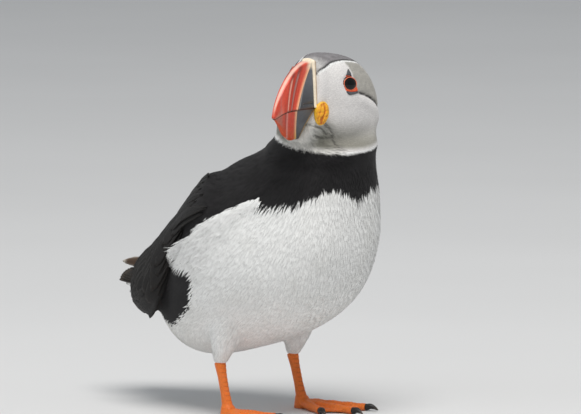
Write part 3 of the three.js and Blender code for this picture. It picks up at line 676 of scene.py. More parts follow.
def remeshed(mesh, cell):
    """Points and four-cornered faces of one even surface round a mesh of closed forms."""
    holder = bpy.data.objects.new("holder", mesh)
    bpy.context.collection.objects.link(holder)
    modifier = holder.modifiers.new("even", "REMESH")
    modifier.mode = "VOXEL"
    modifier.voxel_size = cell
    graph = bpy.context.evaluated_depsgraph_get()
    made = bpy.data.meshes.new_from_object(holder.evaluated_get(graph))
    points = np.empty(len(made.vertices) * 3)
    made.vertices.foreach_get("co", points)
    faces = np.empty(len(made.loops), np.int32)
    made.loops.foreach_get("vertex_index", faces)
    bpy.data.objects.remove(holder)
    bpy.data.meshes.remove(made)
    return points.reshape(-1, 3), faces.reshape(-1, 4)


def relaxed(points, faces, rounds, weight=0.5):
    """Points moved towards the middle of their neighbours; weight may differ from point to point."""
    first = faces.ravel()
    second = np.roll(faces, -1, axis=1).ravel()
    ends = np.concatenate([first, second])
    others = np.concatenate([second, first])
    count = np.bincount(ends, minlength=len(points))[:, None]
    for _ in range(rounds):
        middle = np.stack([np.bincount(ends, points[others, i], len(points)) for i in range(3)], -1) / count
        points = points + (middle - points) * weight
    return points


def vertex_normals(points, faces):
    a, b, c, d = (points[faces[:, i]] for i in range(4))
    normal = np.cross(c - a, d - b)
    total = np.zeros_like(points)
    for i in range(4):
        for k in range(3):
            total[:, k] += np.bincount(faces[:, i], normal[:, k], len(points))
    return unit(total)


class Surface:
    """A triangulated surface with values at its points, read at the nearest place."""

    def __init__(self, points, quads, **values):
        self.points = points
        self.triangles = np.vstack([quads[:, [0, 1, 2]], quads[:, [0, 2, 3]]])
        self.values = values
        self.tree = BVHTree.FromPolygons(points.tolist(), self.triangles.tolist(), all_triangles=True)

    def nearest(self, places):
        found = [self.tree.find_nearest(p)[:3:2] for p in places.tolist()]
        spots = np.array([f[0] for f in found])
        corners = self.triangles[[f[1] for f in found]]
        a, b, c = (self.points[corners[:, i]] for i in range(3))
        normal = np.cross(b - a, c - a)
        area = np.maximum((normal**2).sum(-1), 1e-12)
        wb = (np.cross(spots - a, c - a) * normal).sum(-1) / area
        wc = (np.cross(b - a, spots - a) * normal).sum(-1) / area
        weights = np.clip(np.stack([1 - wb - wc, wb, wc], -1), 0, 1)
        read = {}
        for key, value in self.values.items():
            at = value[corners]
            if key == "degrees":
                at = at[:, :1] + (at - at[:, :1] + 180) % 360 - 180
            read[key] = (at * weights.reshape(-1, 3, *[1] * (at.ndim - 2))).sum(1)
        return spots, read


def sheet_surface(points, **values):
    return Surface(points.reshape(-1, 3), sheet_quads(*points.shape[:2]), **values)


def body_places(points):
    """Section number and degrees from the back of the nearest place on the body's plain form."""
    sections, degrees = grid(np.linspace(0, 10, 81), np.linspace(-180, 180, 91))
    form = sheet_surface(body.point(sections, degrees), section=sections.ravel(), degrees=degrees.ravel())
    _, read = form.nearest(points)
    return read["section"], read["degrees"]


def crease_reach(q):
    """Distance below the furrow behind the eye, in its side view, and how deep the furrow is there."""
    path = np.array(sorted(CREASE))
    line = np.interp(q[..., 0], path[:, 0], path[:, 1])
    run, rise = np.diff(path, axis=0).T
    slope = np.interp(q[..., 0], path[:-1, 0] + run / 2, rise / run)
    below = (line - q[..., 2]) / np.sqrt(1 + slope**2)
    fade = smooth(q[..., 0], -17.8, -19.5) * smooth(q[..., 0], -45, -40) * (np.abs(q[..., 1]) > 10)
    return below, fade


def chin_reach(q):
    """Distance from the nearest wrinkle of the chin, in its side view."""
    nearest = np.full(q.shape[:-1], 99.0)
    for path in CHIN_CREASES:
        for (x0, z0), (x1, z1) in zip(path, path[1:]):
            run = np.array([x1 - x0, z1 - z0], float)
            flat = q[..., [0, 2]] - (x0, z0)
            t = np.clip(flat @ run / (run @ run), 0, 1)
            nearest = np.minimum(nearest, np.linalg.norm(flat - t[..., None] * run, axis=-1))
    return np.where(np.abs(q[..., 1]) > 4, nearest, 99)


# ---------------------------------------------------------------- markings
def head_zone(q):
    """1 on the head, 0 on the neck and the body."""
    near = np.linalg.norm(q - HEAD_MIDDLE, axis=-1)
    return smooth(near, 37, 34) * smooth(q[..., 2], -54, -50)


def face_margin(q):
    """Millimetres inside the border of the face patch."""
    upper = (crown_angle(q) - along_line(q[..., 0], FACE_TOP)) * 0.4
    lower = q[..., 2] - along_line(q[..., 0], FACE_LOW)
    return np.minimum(np.minimum(upper, lower), (q[..., 0] + 45) * 1.5)


def crown_colour(q, points, margin, dark):
    """Crown and nape, darker towards the face's border and black low on the neck."""
    crown = blend(CROWN, FOREHEAD, smooth(q[:, 0], -9, 0))
    crown = blend(crown, BLACK, smooth(q[:, 0], -26, -44))
    low = smooth(crown_angle(q), 95, 112)
    colour = blend(crown * (0.75 + 0.5 * noise(points, 1.1))[:, None], dark, low)
    return blend(colour, LINE, smooth(margin, -1.3, -0.5) * (1 - low)), low


def face_colour(q, points, margin):
    """The pale face: greyer behind the eye and on the chin, with painted shade under the cheek, in the furrow
    behind the eye and along the chin's wrinkles.
    """
    below, furrow = crease_reach(q)
    speckle = (noise(points, 1.3) - 0.5)[:, None]
    behind = smooth(q[:, 0], -16.6, -17.6) * smooth(below, 0.3, -0.3) * smooth(margin, 0.8, 1.4)
    face = blend(CHEEK, BEHIND_EYE * (1 + 0.35 * speckle), behind)
    face = blend(face, WHITE, smooth(margin, 1.6, 0.6))
    chin = smooth(q[:, 2], -27, -30) * smooth(q[:, 0], -9, -4)
    face = blend(face, GREY_WHITE * (0.9 + 0.5 * speckle), 0.8 * chin)
    # Painted shade along the chin's wrinkles.
    face = blend(face, LINE, 0.55 * smooth(chin_reach(q), 0.75, 0.2))
    # Painted shade under the cheek, darker towards the jaw.
    painted_jaw_shade = smooth(q[:, 2], -22, -38) * smooth(margin, 1.0, 3.2) * smooth(q[:, 0], 5, -4)
    face = blend(face, face * PAINTED_JAW_SHADE, painted_jaw_shade)
    # Painted shade in the furrow behind the eye.
    return blend(face, LINE, 0.95 * smooth(np.abs(below), 0.8, 0.3) * furrow)


def marking(points, section, degrees):
    """The plumage's colour at places on the skin."""
    q = to_head(points)
    ragged = (noise(points, 2.2) - 0.5) * 2.0 + (noise(points + 50, 0.9) - 0.5) * 1.2
    angle = np.abs(degrees)
    flank = (along_line(section, FLANK_LINE) - angle) * 0.7
    collar = (section - along_line(angle, COLLAR_LINE)) * 13
    belly = smooth(section, 3.5, 1.0) * smooth(angle, 70, 120)
    white = blend(WHITE, GREY_WHITE, (0.7 * belly + 0.5 * (noise(points, 9) - 0.5)).clip(0, 1))
    dark = BLACK * (0.85 + 0.4 * noise(points, 4))[:, None]
    trunk = blend(white, dark, smooth(np.maximum(flank, collar) + ragged, -0.6, 0.6))
    margin = face_margin(q)
    crown, low = crown_colour(q, points, margin, dark)
    head = blend(crown, face_colour(q, points, margin), smooth(margin + 0.35 * ragged * low, -0.25, 0.25))
    return blend(trunk, head, head_zone(q))


def eye_frame(side):
    """Centre of an eye and its axes in the head's frame: forward, up and out."""
    out = unit(np.array([EYE_LEAN[0], side, EYE_LEAN[1]]))
    up = unit(UP - out * out[2])
    ahead = unit(np.cross(up, out)) * -side
    x, z = EYE_PLACE
    return np.array([x, side * (skin_at(x, z) - EYE_SUNK - EYE_DENT[side]), z]), np.array([ahead, up, out])


def rosette_place(side):
    """The middle of the gape's rosette on the head's surface."""
    return np.array([ROSETTE["x"], side * skin_at(ROSETTE["x"], ROSETTE["z"]), ROSETTE["z"]])


def coat_depth(points, section):
    """How far the skin lies under the coat's surface."""
    q = to_head(points)
    trunk = mix(1.5, 1.2, smooth(section, 6.5, 8))
    thin, dent = 0, 0
    for side in SIDES.values():
        reach = np.linalg.norm(q - eye_frame(side)[0], axis=-1)
        thin = np.maximum(thin, smooth(reach, 13, 8))
        dent = dent + EYE_DENT[side] * smooth(reach, 14, 5) + EYE_SOCKET * smooth(reach, 5.7, 4.9)
    return mix(trunk, mix(0.6, 0.25, thin) + dent, head_zone(q))


def build_skin():
    """The skin's points, faces, normals, section numbers and degrees, with its furrows and wrinkles."""
    points, faces = remeshed(joined_skin(), SKIN_CELL)
    q = to_head(points)
    seam = smooth(np.abs((q - THROAT) @ NECK_NORMAL), 6, 1) * (np.linalg.norm(q, axis=1) < 70)
    points = relaxed(points, faces, 8)
    points = relaxed(points, faces, 30, 0.5 * seam[:, None])
    q = to_head(points)
    section, degrees = body_places(points)
    below, furrow = crease_reach(q)
    groove = 1.15 * np.exp(-((below / 0.85) ** 2)) * furrow
    cheek = 0.7 * np.exp(-(((below - 3.6) / 2.4) ** 2)) * furrow
    wrinkle = 0.8 * np.exp(-((chin_reach(q) / 0.7) ** 2))
    sink = coat_depth(points, section) + head_zone(q) * (groove - cheek + wrinkle)
    points = points - vertex_normals(points, faces) * sink[:, None]
    return points, faces, vertex_normals(points, faces), section, degrees


skin_points, skin_faces, skin_normals, skin_section, skin_degrees = build_skin()


# ---------------------------------------------------------------- the coat
skin = Surface(skin_points, skin_faces, normal=skin_normals, section=skin_section, degrees=skin_degrees)
cover_places = grid(np.linspace(0.36, 0.9, 30), np.linspace(0.06, 0.94, 20))
wing_cover = [sheet_surface(wing(*cover_places, 1.0)) for wing in wings.values()]
wing_top = [sheet_surface(wing_sheet(wing, 1.7, 0.25, 1.0, 40, 30)) for wing in wings.values()]


def flow_at(points, section, degrees):
    """The lie of the feathers: back from the bill, down the neck and along the body towards the tail."""
    q = to_head(points)
    trunk = -body.spine.along(section)
    trunk = trunk + UP * -0.18 * smooth(np.abs(degrees), 30, 90)[:, None]
    trunk = blend(trunk, np.array([0, 0.12, -1]), smooth(points[:, 2], 46, 36))
    face = (unit(q - FLOW_FROM) * (1, 1, 0.8)) @ HEAD_AXES
    face = unit(blend(face, trunk, smooth(q[:, 0], -30, -47)))
    return unit(blend(trunk, face, head_zone(q)))


def scattered(spacing, keep):
    """Random places on the skin, a given distance apart that may change from place to place."""
    a, b, c = (skin_points[skin.triangles[:, i]] for i in range(3))
    area = np.linalg.norm(np.cross(b - a, c - a), axis=1) / 2
    middle = (a + b + c) / 3
    gap = spacing(middle, skin_section[skin.triangles[:, 0]])
    wanted = area / gap**2 * TRIES * keep(middle)
    count = rng.poisson(wanted)
    which = np.repeat(np.arange(len(count)), count)
    r, s = np.sqrt(rng.random(len(which))), rng.random(len(which))
    spots = a[which] * (1 - r)[:, None] + b[which] * (r * (1 - s))[:, None] + c[which] * (r * s)[:, None]
    order = rng.permutation(len(spots))
    spots, gaps = spots[order], gap[which][order]
    tree = KDTree(len(spots))
    for i, spot in enumerate(spots.tolist()):
        tree.insert(spot, i)
    tree.balance()
    free = np.ones(len(spots), bool)
    chosen = []
    for i, spot in enumerate(spots.tolist()):
        if free[i]:
            chosen.append(i)
            for _, other, _ in tree.find_range(spot, gaps[i]):
                free[other] = False
    return spots[chosen], gaps[chosen]


# A tuft's points: share along it, share across it, height of its upper or lower face over its middle line.
HAIR = np.array([
    (0, -0.5, 0), (0, 0.5, 0), (0.45, -1, 0), (0.45, 0, 1), (0.45, 1, 0), (0.45, 0, -0.5), (1, 0.2, 0),
])
HAIR_TOP = [(0, 1, 3), (0, 3, 2), (1, 4, 3), (2, 3, 6), (3, 4, 6)]
LONG = np.array([
    (0, -0.5, 0), (0, 0.5, 0), (0.35, -1, 0), (0.35, 0, 1), (0.35, 1, 0), (0.35, 0, -0.5),
    (0.7, -0.7, 0), (0.7, 0, 0.8), (0.7, 0.7, 0), (0.7, 0, -0.4), (1, 0.2, 0),
])
LONG_TOP = [
    (0, 1, 3), (0, 3, 2), (1, 4, 3), (2, 3, 7), (2, 7, 6), (3, 4, 8), (3, 8, 7), (6, 7, 10), (7, 8, 10),
]


def both_faces(top, lowered):
    """The faces of a tuft: its top, and the same seen from below on the lowered points."""
    under = [tuple(lowered.get(i, i) for i in f) for f in top]
    return np.array([f[::-1] for f in top] + under)


# Points and faces of each kind, and where along it a tuft follows the skin anew.
TEMPLATES = {
    "long": (LONG, both_faces(LONG_TOP, {3: 5, 7: 9}), np.array([0, 0.4, 0.7, 1.0])),
    "hair": (HAIR, both_faces(HAIR_TOP, {3: 5}), np.array([0, 0.45, 1.0])),
}
BAKED_TUFT = 0.0015  # a tuft's size on the baking map
# Tufts of the coat in millimetres, by place.
TUFT_LENGTH = {"trunk": 8.8, "neck": 5.6, "face": 2.3, "chin": 3.6}
TUFT_HALF_WIDTH = {"trunk": 0.5, "neck": 0.42, "face": 0.32, "chin": 0.34}
TUFT_LIFT = {"trunk": 0.22, "neck": 0.4, "face": 0.16, "chin": 0.6}
TUFT_SPACING = {"trunk": 0.74, "neck": 0.8, "face": 0.47, "chin": 0.58}


def height_over(surface, places, normals, reach=8.0):
    """How high a surface lies over places on the skin; 0 where it doesn't."""
    starts = (places + normals * reach).tolist()
    hits = [surface.tree.ray_cast(p, n, reach)[3] for p, n in zip(starts, (-normals).tolist())]
    return np.array([reach - h if h is not None else 0.0 for h in hits])


def laid(way, normal):
    """A direction made level with the skin."""
    return unit(way - normal * (way * normal).sum(-1, keepdims=True))


def tufts(kind, roots, length, width, lift, colour, unwrap, thick, stray, bury, over=()):
    """Tufts laid along the skin from their roots: points, faces, colours, normals and the baking map."""
    shape, faces, stops = TEMPLATES[kind]
    count, size = len(roots), len(shape)
    spots, read = skin.nearest(roots)
    normal = unit(read["normal"])
    way = laid(flow_at(spots, read["section"], read["degrees"]), normal)
    way = unit(way + np.cross(normal, way) * rng.normal(0, stray, count)[:, None])
    middle, out = [], []
    place = spots
    for i, stop in enumerate(stops):
        if i:
            place, read = skin.nearest(place + way * (length * (stop - stops[i - 1]))[:, None])
            normal = unit(read["normal"])
            way = laid(way, normal)
        rise = -bury + (lift + bury) * stop**0.75
        for surface in over:
            rise = rise + height_over(surface, place, normal)
        middle.append(place + normal * rise[:, None])
        out.append(normal)
    middle, out = np.array(middle), np.array(out)

    step = np.clip(np.searchsorted(stops, shape[:, 0], side="right") - 1, 0, len(stops) - 2)
    t = ((shape[:, 0] - stops[step]) / (stops[step + 1] - stops[step]))[:, None, None]
    centre = mix(middle[step], middle[step + 1], t)
    normal = unit(mix(out[step], out[step + 1], t))
    across = unit(np.cross(normal, unit(middle[step + 1] - middle[step])))
    wobble = 1 + rng.normal(0, 0.12, (size, count, 1))
    spread = across * shape[:, 1][:, None, None] * width[None, :, None] * wobble
    points = centre + spread + normal * (shape[:, 2] * thick)[:, None, None]
    points = points.transpose(1, 0, 2)
    soft = unit(normal + across * (0.15 * shape[:, 1])[:, None, None]).transpose(1, 0, 2)
    all_faces = (faces[None] + (np.arange(count) * size)[:, None, None]).reshape(-1, 3)
    if kind == "hair":
        where = [np.repeat(read[k], size) for k in ("section", "degrees")]
        plain = marking(spots, read["section"], read["degrees"]).mean(-1)
        shade = colour.mean(-1) / np.maximum(plain, 1e-4)
        tint = marking(points.reshape(-1, 3), *where).reshape(count, size, 3) * shade[:, None, None]
    else:
        tint = np.repeat(colour[:, None, :], size, 1)
    # Painted shade: each tuft darker towards its root, where it lies under the others.
    tint = tint * (0.94 + 0.09 * shape[:, 0])[None, :, None]
    patch = unwrap[:, None, :] + np.stack([shape[:, 1] / 2, shape[:, 0]], -1) * BAKED_TUFT
    uv = patch.reshape(-1, 2)[all_faces.ravel()]
    return points.reshape(-1, 3), all_faces, tint.reshape(-1, 3), soft.reshape(-1, 3), uv


def unwrapped(points, section, degrees):
    """A place on the skin's own unwrap: round the head's axis, or round the body's spine."""
    q = to_head(points)
    top, bottom, _, _ = head_section(q[:, 0])
    around = np.arctan2(q[:, 1], q[:, 2] - (top + bottom) / 2) / (2 * math.pi) + 0.5
    head = np.stack([0.02 + 0.96 * around, 0.72 + 0.26 * np.clip((q[:, 0] + 50) / 60, 0, 1)], -1)
    trunk = np.stack([0.02 + 0.96 * (degrees + 180) / 360, 0.02 + 0.66 * section / 10], -1)
    return np.where(head_zone(q)[:, None] > 0.5, head, trunk)


def add_coat(name, slot, points, faces, tint, normals, uv):
    finish_piece(add_mesh(name, points, faces, tint, normals, {"OFBake": uv}), PLUMAGE, slot)


# Outlines round the eye in its own frame: forward and up of its middle.
RING_OUTLINE = [
    (2.0, 4.2), (3.0, 1.6), (3.85, -1.3), (2.7, -4.0), (-0.6, -4.25), (-5.0, -3.6), (-4.0, -0.3),
    (-2.0, 3.8), (0, 4.2),
]
HORN_OUTLINE = [(2.1, 3.7), (1.3, 5.4), (-0.2, 7.5), (-1.3, 5.4), (-1.9, 3.6), (0.2, 4.1)]
BAR_OUTLINE = [
    (2.75, -3.6), (2.3, -4.7), (0.7, -5.6), (-2.4, -5.0), (-5.1, -4.1), (-5.3, -3.3), (-0.8, -3.9),
]
# Half-width of the bill's base against height, above and below the mouth's line.
BASE_ABOVE = [(0, 3.0), (-22, 8.2)]
BASE_BELOW = [(-38.5, 1.6), (-30, 4.6), (-22, 7)]


def inside(outline, points, grow):
    """Which points lie inside an outline, made larger from its middle by a distance."""
    edge = np.array(outline, float)
    middle = edge.mean(0)
    edge = edge + unit(edge - middle) * grow
    after = np.roll(edge, -1, axis=0)
    x, y = points[:, :1], points[:, 1:2]
    crosses = (edge[:, 1] > y) != (after[:, 1] > y)
    at = edge[:, 0] + (y - edge[:, 1]) / (after[:, 1] - edge[:, 1] + 1e-9) * (after[:, 0] - edge[:, 0])
    return (crosses & (x < at)).sum(1) % 2 == 1


def bare(points):
    """Places where the eye, the gape or the bill leave no room for feathers."""
    q = to_head(points)
    taken = np.zeros(len(points), bool)
    for side in SIDES.values():
        centre, axes = eye_frame(side)
        local = (q - centre) @ axes.T
        near = np.linalg.norm(q - centre, axis=1) < 12
        for outline in (RING_OUTLINE, HORN_OUTLINE, BAR_OUTLINE):
            taken |= near & inside(outline, local[:, :2], 0.25)
        away = q - rosette_place(side)
        share = away / (ROSETTE["short"] + 0.1, 5, ROSETTE["long"] + 0.1)
        taken |= (share**2).sum(1) < 1
    wide = np.where(q[:, 2] > -22, along_line(q[:, 2], BASE_ABOVE), along_line(q[:, 2], BASE_BELOW))
    wall = (q @ BASE_NORMAL > -1.2) & (q[:, 2] > -38.3) & (q[:, 2] < 0.6)
    return taken | wall & (np.abs(q[:, 1]) < wide)


def hidden_by_wing(points, normals):
    hidden = np.zeros(len(points), bool)
    for cover in wing_cover:
        hits = [cover.tree.ray_cast(p, n, SIGHT)[0] for p, n in zip(points.tolist(), normals.tolist())]
        hidden |= np.array([hit is not None for hit in hits])
    return hidden


def zones(points, section):
    """Weights of head, chin and neck at places on the skin."""
    q = to_head(points)
    head = head_zone(q)
    chin = head * smooth(q[:, 2], -27, -31) * smooth(q[:, 0], -12, -6)
    neck = smooth(section, 6.6, 8)
    return head, chin, neck


def by_zone(values, zone, shin=0.0):
    """A measure of the coat at places, from its values for trunk, neck, face and chin."""
    head, chin, neck = zone
    trunk = mix(mix(values["trunk"], values["neck"], neck), values["neck"], shin)
    return mix(trunk, mix(values["face"], values["chin"], chin), head)


def shin_at(points):
    """1 low on the thighs, 0 above."""
    return smooth(points[:, 2], 42, 34)


def spacing_at(points, section):
    return by_zone(TUFT_SPACING, zones(points, section), shin_at(points))


def build_coat():
    """The tufts of head, neck, breast and belly."""
    roots, _ = scattered(spacing_at, lambda p: ~bare(p))
    spots, read = skin.nearest(roots)
    normal = unit(read["normal"])
    shown = ~bare(spots)
    shown &= ~hidden_by_wing(spots + normal * 0.4, normal)
    spots, section, degrees = spots[shown], read["section"][shown], read["degrees"][shown]
    count = len(spots)
    zone = zones(spots, section)
    head, chin, _ = zone
    unwrap = unwrapped(spots, section, degrees)
    length = by_zone(TUFT_LENGTH, zone) * (1 + rng.normal(0, 0.16, count).clip(-0.4, 0.5))
    width = by_zone(TUFT_HALF_WIDTH, zone)
    lift = by_zone(TUFT_LIFT, zone) * (1 + rng.normal(0, 0.2, count))
    shin = shin_at(spots)
    length, lift = length * mix(1, 0.62, shin), lift * mix(1, 0.35, shin)
    way = flow_at(spots, section, degrees)
    blocked = bare(spots + way * length[:, None]) | bare(spots + way * (0.6 * length)[:, None])
    length = np.where(blocked, length * 0.36, length)
    shown_part, read = skin.nearest(spots + way * (length * 0.45 * (head < 0.5))[:, None])
    colour = marking(shown_part, read["section"], read["degrees"])
    colour = colour * (1 + rng.normal(0, 0.04, (count, 1)))
    stray = 0.12 + 0.25 * chin
    on_head, on_neck, low = head > 0.5, section > 6.6, section <= 4.6
    parts = [
        ("coat_head", "head", on_head),
        ("coat_neck", "neck", ~on_head & on_neck),
        ("coat_breast", "torso", ~on_head & ~on_neck & ~low),
        ("coat_belly_left", "torso", ~on_head & low & (degrees > 0)),
        ("coat_belly_right", "torso", ~on_head & low & (degrees <= 0)),
    ]
    for name, slot, chosen in parts:
        kind, bury = ("hair", 0.3) if slot == "head" else ("long", 0.5)
        sizes = length[chosen], width[chosen], lift[chosen]
        add_coat(name, slot, *tufts(kind, spots[chosen], *sizes, colour[chosen], unwrap[chosen],
                                    0.05, stray[chosen], bury))


def build_fluff(name):
    """Long loose feathers of the flank that lie over the folded wing's lower edge."""
    count = FLUFF_COUNT
    tip = rng.beta(1.0, 1.15, count) * FLUFF_SPAN + FLUFF_START
    down = rng.random(count) ** mix(1.2, 2.6, smooth(tip, 3.3, 4.6))
    degrees = mix(along_line(tip, FLUFF_TOP), along_line(tip, FLUFF_LOW), down)
    length = rng.uniform(6.5, 11, count) * mix(0.75, 1, smooth(tip, 5.8, 4.5))
    spots, read = skin.nearest(body.point(tip + length * SECTIONS_PER_MM, degrees * SIDES[name]))
    # White with random tone, up to a tenth brighter as painted light against the shade among the dense
    # strands.
    colour = WHITE * rng.uniform(0.98, 1.1, (count, 1))
    unwrap = unwrapped(spots, read["section"], read["degrees"])
    lift = rng.uniform(0.2, 0.8, count) * mix(1, 0.4, smooth(down, 0.3, 0.9) * smooth(tip, 3.2, 4.2))
    width = rng.uniform(0.18, 0.32, count)
    made = tufts("long", spots, length, width, lift, colour, unwrap, 0.06, 0.2, 0.1, over=wing_top)
    add_coat(f"fluff_{name}", "torso", *made)


def add_skin():
    """The bare skin under the coat, in the coat's own colours made a tenth darker as painted shade under the
    coat.
    """
    tint = marking(skin_points, skin_section, skin_degrees) * 0.9
    uv = unwrapped(skin_points, skin_section, skin_degrees)[skin_faces.ravel()]
    piece = add_mesh("skin", skin_points, skin_faces, tint, None, {"OFBake": uv})
    finish_piece(piece, PLUMAGE, "torso", "head", "neck", "torso", "thigh_left", "thigh_right")


# ---------------------------------------------------------------- flight feathers
def profile_of(kind, t):
    """Share of a vane's full half-width along it."""
    if kind == "round":
        tip = 1 - np.clip((t - 0.62) / 0.385, 0, 1) ** 2.4
        return np.sqrt(np.clip(tip, 0, 1)) * mix(0.12, 1, smooth(t, -0.1, 0.45))
    tip = 1 - np.clip((t - 0.35) / 0.66, 0, 1) ** 1.9
    return np.clip(tip, 0, 1) ** 0.7 * mix(0.2, 1, smooth(t, -0.1, 0.35))


def vane(surface, root, tip, width, sink, lift, side, colour, kind="round", rows=15, columns=9,
         thick=0.45, shingle=0.35, camber=0.25, edge=0.25, edge_colour=WORN * 0.7):
    """One feather laid over a surface: points, faces, colours and the barbs' map."""
    t, c = np.linspace(0, 1, rows), np.linspace(-1, 1, columns)
    u, v, height = mix(root[0], tip[0], t), mix(root[1], tip[1], t), mix(sink, lift, t)
    centre = surface(u, v, height)
    out = unit(surface(u, v, height + 1) - centre)
    across = unit(np.cross(unit(np.gradient(centre, axis=0)), out)) * side
    offset = (width / 2 * profile_of(kind, t) + 0.05)[:, None] * c
    spread = centre[:, None] + across[:, None] * offset[..., None]
    rise = shingle * c * np.minimum(t * 4, 1)[:, None] - camber * c**2 - offset**2 / 90
    half_thick = thick * (1 - 0.55 * t)[:, None] * (1 - 0.75 * c**2) / 2
    shaft = 0.16 * np.exp(-((c / 0.12) ** 2)) * (1 - t)[:, None] ** 0.5
    ragged = rng.normal(0, 0.05 * width, (rows, columns)) * (np.abs(c) > 0.99) * 0.3
    upper = spread + out[:, None] * (rise + half_thick + shaft)[..., None]
    upper = upper + across[:, None] * ragged[..., None]
    points, faces, inner = slab(upper, spread + out[:, None] * (rise - half_thick)[..., None])
    worn = np.maximum(np.abs(c) ** 6 * 0.6, smooth(t, 0.88, 1)[:, None])
    tint = colour * (1 + 0.12 * (c * 0.5 + 0.2 * np.sin(t * 9)[:, None]))[..., None]
    tint = blend(tint, edge_colour, edge * worn)
    tint = tint * (1 - 0.25 * np.exp(-((c / 0.14) ** 2)))[:, None]
    steps = np.linalg.norm(np.diff(centre, axis=0), axis=1)
    run = np.concatenate([[0], np.cumsum(steps)])[:, None]
    barbs = np.stack([offset, run - 1.1 * np.abs(offset)], -1)
    if side < 0:
        faces = faces[:, ::-1]
    return points, faces, on_slab(tint, inner), on_slab(barbs, inner)


def add_vanes(name, vanes, slot, *nodes):
    """Many vanes as one piece."""
    points, faces, tint, barbs = zip(*vanes)
    starts = np.cumsum([0] + [len(p) for p in points[:-1]])
    faces = np.vstack([f + s for f, s in zip(faces, starts)])
    uvs = {"Barbs": np.vstack(barbs)[faces.ravel()]}
    piece = add_mesh(name, np.vstack(points), faces, np.vstack(tint), uvs=uvs)
    finish_piece(piece, VANES, slot, *nodes)


def vane_row(wing, count, root, tip, width, sink, lift, stray=0.02, **more):
    """A row of vanes on a wing between a first and a last one; roots and tips as (u, v, u, v)."""
    root, tip = np.array(root).reshape(2, 2), np.array(tip).reshape(2, 2)
    made = []
    for i in range(count):
        share = i / (count - 1)
        jitter = rng.normal(0, stray, 4)
        start = mix(*root, share) + jitter[:2]
        end = mix(*tip, share) + jitter[2:] * (0.6, 1)
        shade = WING_BLACK * (1 + rng.normal(0, 0.1))
        drop = 0.12 * (i % 2)
        made.append(vane(wing, start, end, mix(*width, share), sink, lift - drop, -wing.side, shade, **more))
    return made


def under_sheet(wing, start, end):
    """The ground under the wing's feathers, darker than they are as painted shade under them."""
    points, faces, _ = slab(*(wing_sheet(wing, height, start, end, 30, 20) for height in (0.1, -1.4)))
    if wing.side > 0:
        faces = faces[:, ::-1]
    return points, faces, np.tile(WING_BLACK * 0.7, (len(points), 1)), points[:, :2]


def blade(root, tip, facing):
    """The surface of one loose feather between two points, with its face turned to a direction."""
    root, tip, facing = np.array(root, float), np.array(tip, float), unit(np.array(facing, float))
    across = unit(np.cross(facing, tip - root))

    def surface(along, out, height):
        shares = np.broadcast_arrays(np.asarray(along, float), out, height)
        along, out, height = (a[..., None] for a in shares)
        return mix(root, tip, along) + across * out + facing * height

    return surface


# Rows of a wing's feathers: how many, places of the first and the last root and of the first and the last
# tip, first and last width, height of roots and tips over the wing.
PRIMARIES = (8, (0.5, 0.2, 0.5, 0.9), (0.93, 0.26, 0.98, 0.74), (7.5, 7.5), -1.1, 0.3)
WING_ROW_FEATHERS = [
    (9, (0.42, 0.12, 0.42, 0.9), (0.82, 0.2, 0.69, 0.82), (11, 10), -0.6, 0.9),
    (10, (0.32, 0.1, 0.32, 0.84), (0.62, 0.14, 0.6, 0.84), (10, 9), -0.5, 1.35),
    (11, (0.26, 0.08, 0.26, 0.82), (0.5, 0.1, 0.5, 0.82), (9, 8), -0.5, 1.6),
]
WORN_BROWN = linear(78, 60, 47)
WORN_EDGE = linear(226, 220, 208)


def build_wing(name):
    """The folded wing: flight feathers, then rows of coverts up to the wrist."""
    wing = wings[name]
    parts = [under_sheet(wing, 0.33, 0.64)]
    fine = {"shingle": 0.22, "thick": 0.32, "edge": 0.12, "camber": 0.18}
    parts += vane_row(wing, *PRIMARIES, kind="long", rows=22, stray=0.012, **fine)
    for row in WING_ROW_FEATHERS:
        parts += vane_row(wing, *row, **fine)
    for k in range(3):
        start = 0.37 - 0.07 * k
        tip = start + 0.09
        low = 0.8 - 0.02 * k
        width = (7.4 - 0.35 * k, 6.6 - 0.3 * k)
        parts += vane_row(wing, 12 - k, (start - 0.1, 0.08, start - 0.1, low), (tip, 0.08, tip, low),
                          width, -0.9, 1.6 - 0.3 * k, rows=10, columns=7, **fine)
    if name == "left":
        # The turned, bleached outermost primary, which shows its face to the right.
        facing = blade(*WORN_PRIMARY, (-0.93, 0, 0.36))
        parts.append(vane(facing, (0, 0), (1, 0), 6.4, 0.0, 0.0, 1, WORN_BROWN, kind="long", rows=24,
                          columns=15, thick=0.6, shingle=0.1, edge=0.95, edge_colour=WORN_EDGE))
    add_vanes(f"plumage_wing_{name}", parts, "wing", f"wing_{name}")


def tail_surface(along, out, height):
    along, out, height = np.broadcast_arrays(np.asarray(along, float), out, height)
    wide = mix(TAIL["root_wide"], TAIL["tip_wide"], along)
    z = mix(TAIL["root_z"], TAIL["tip_z"], along) - TAIL["arch"] * out * out * along
    return np.stack([wide * out, mix(TAIL["root"], TAIL["tip"], along), z + height], -1)


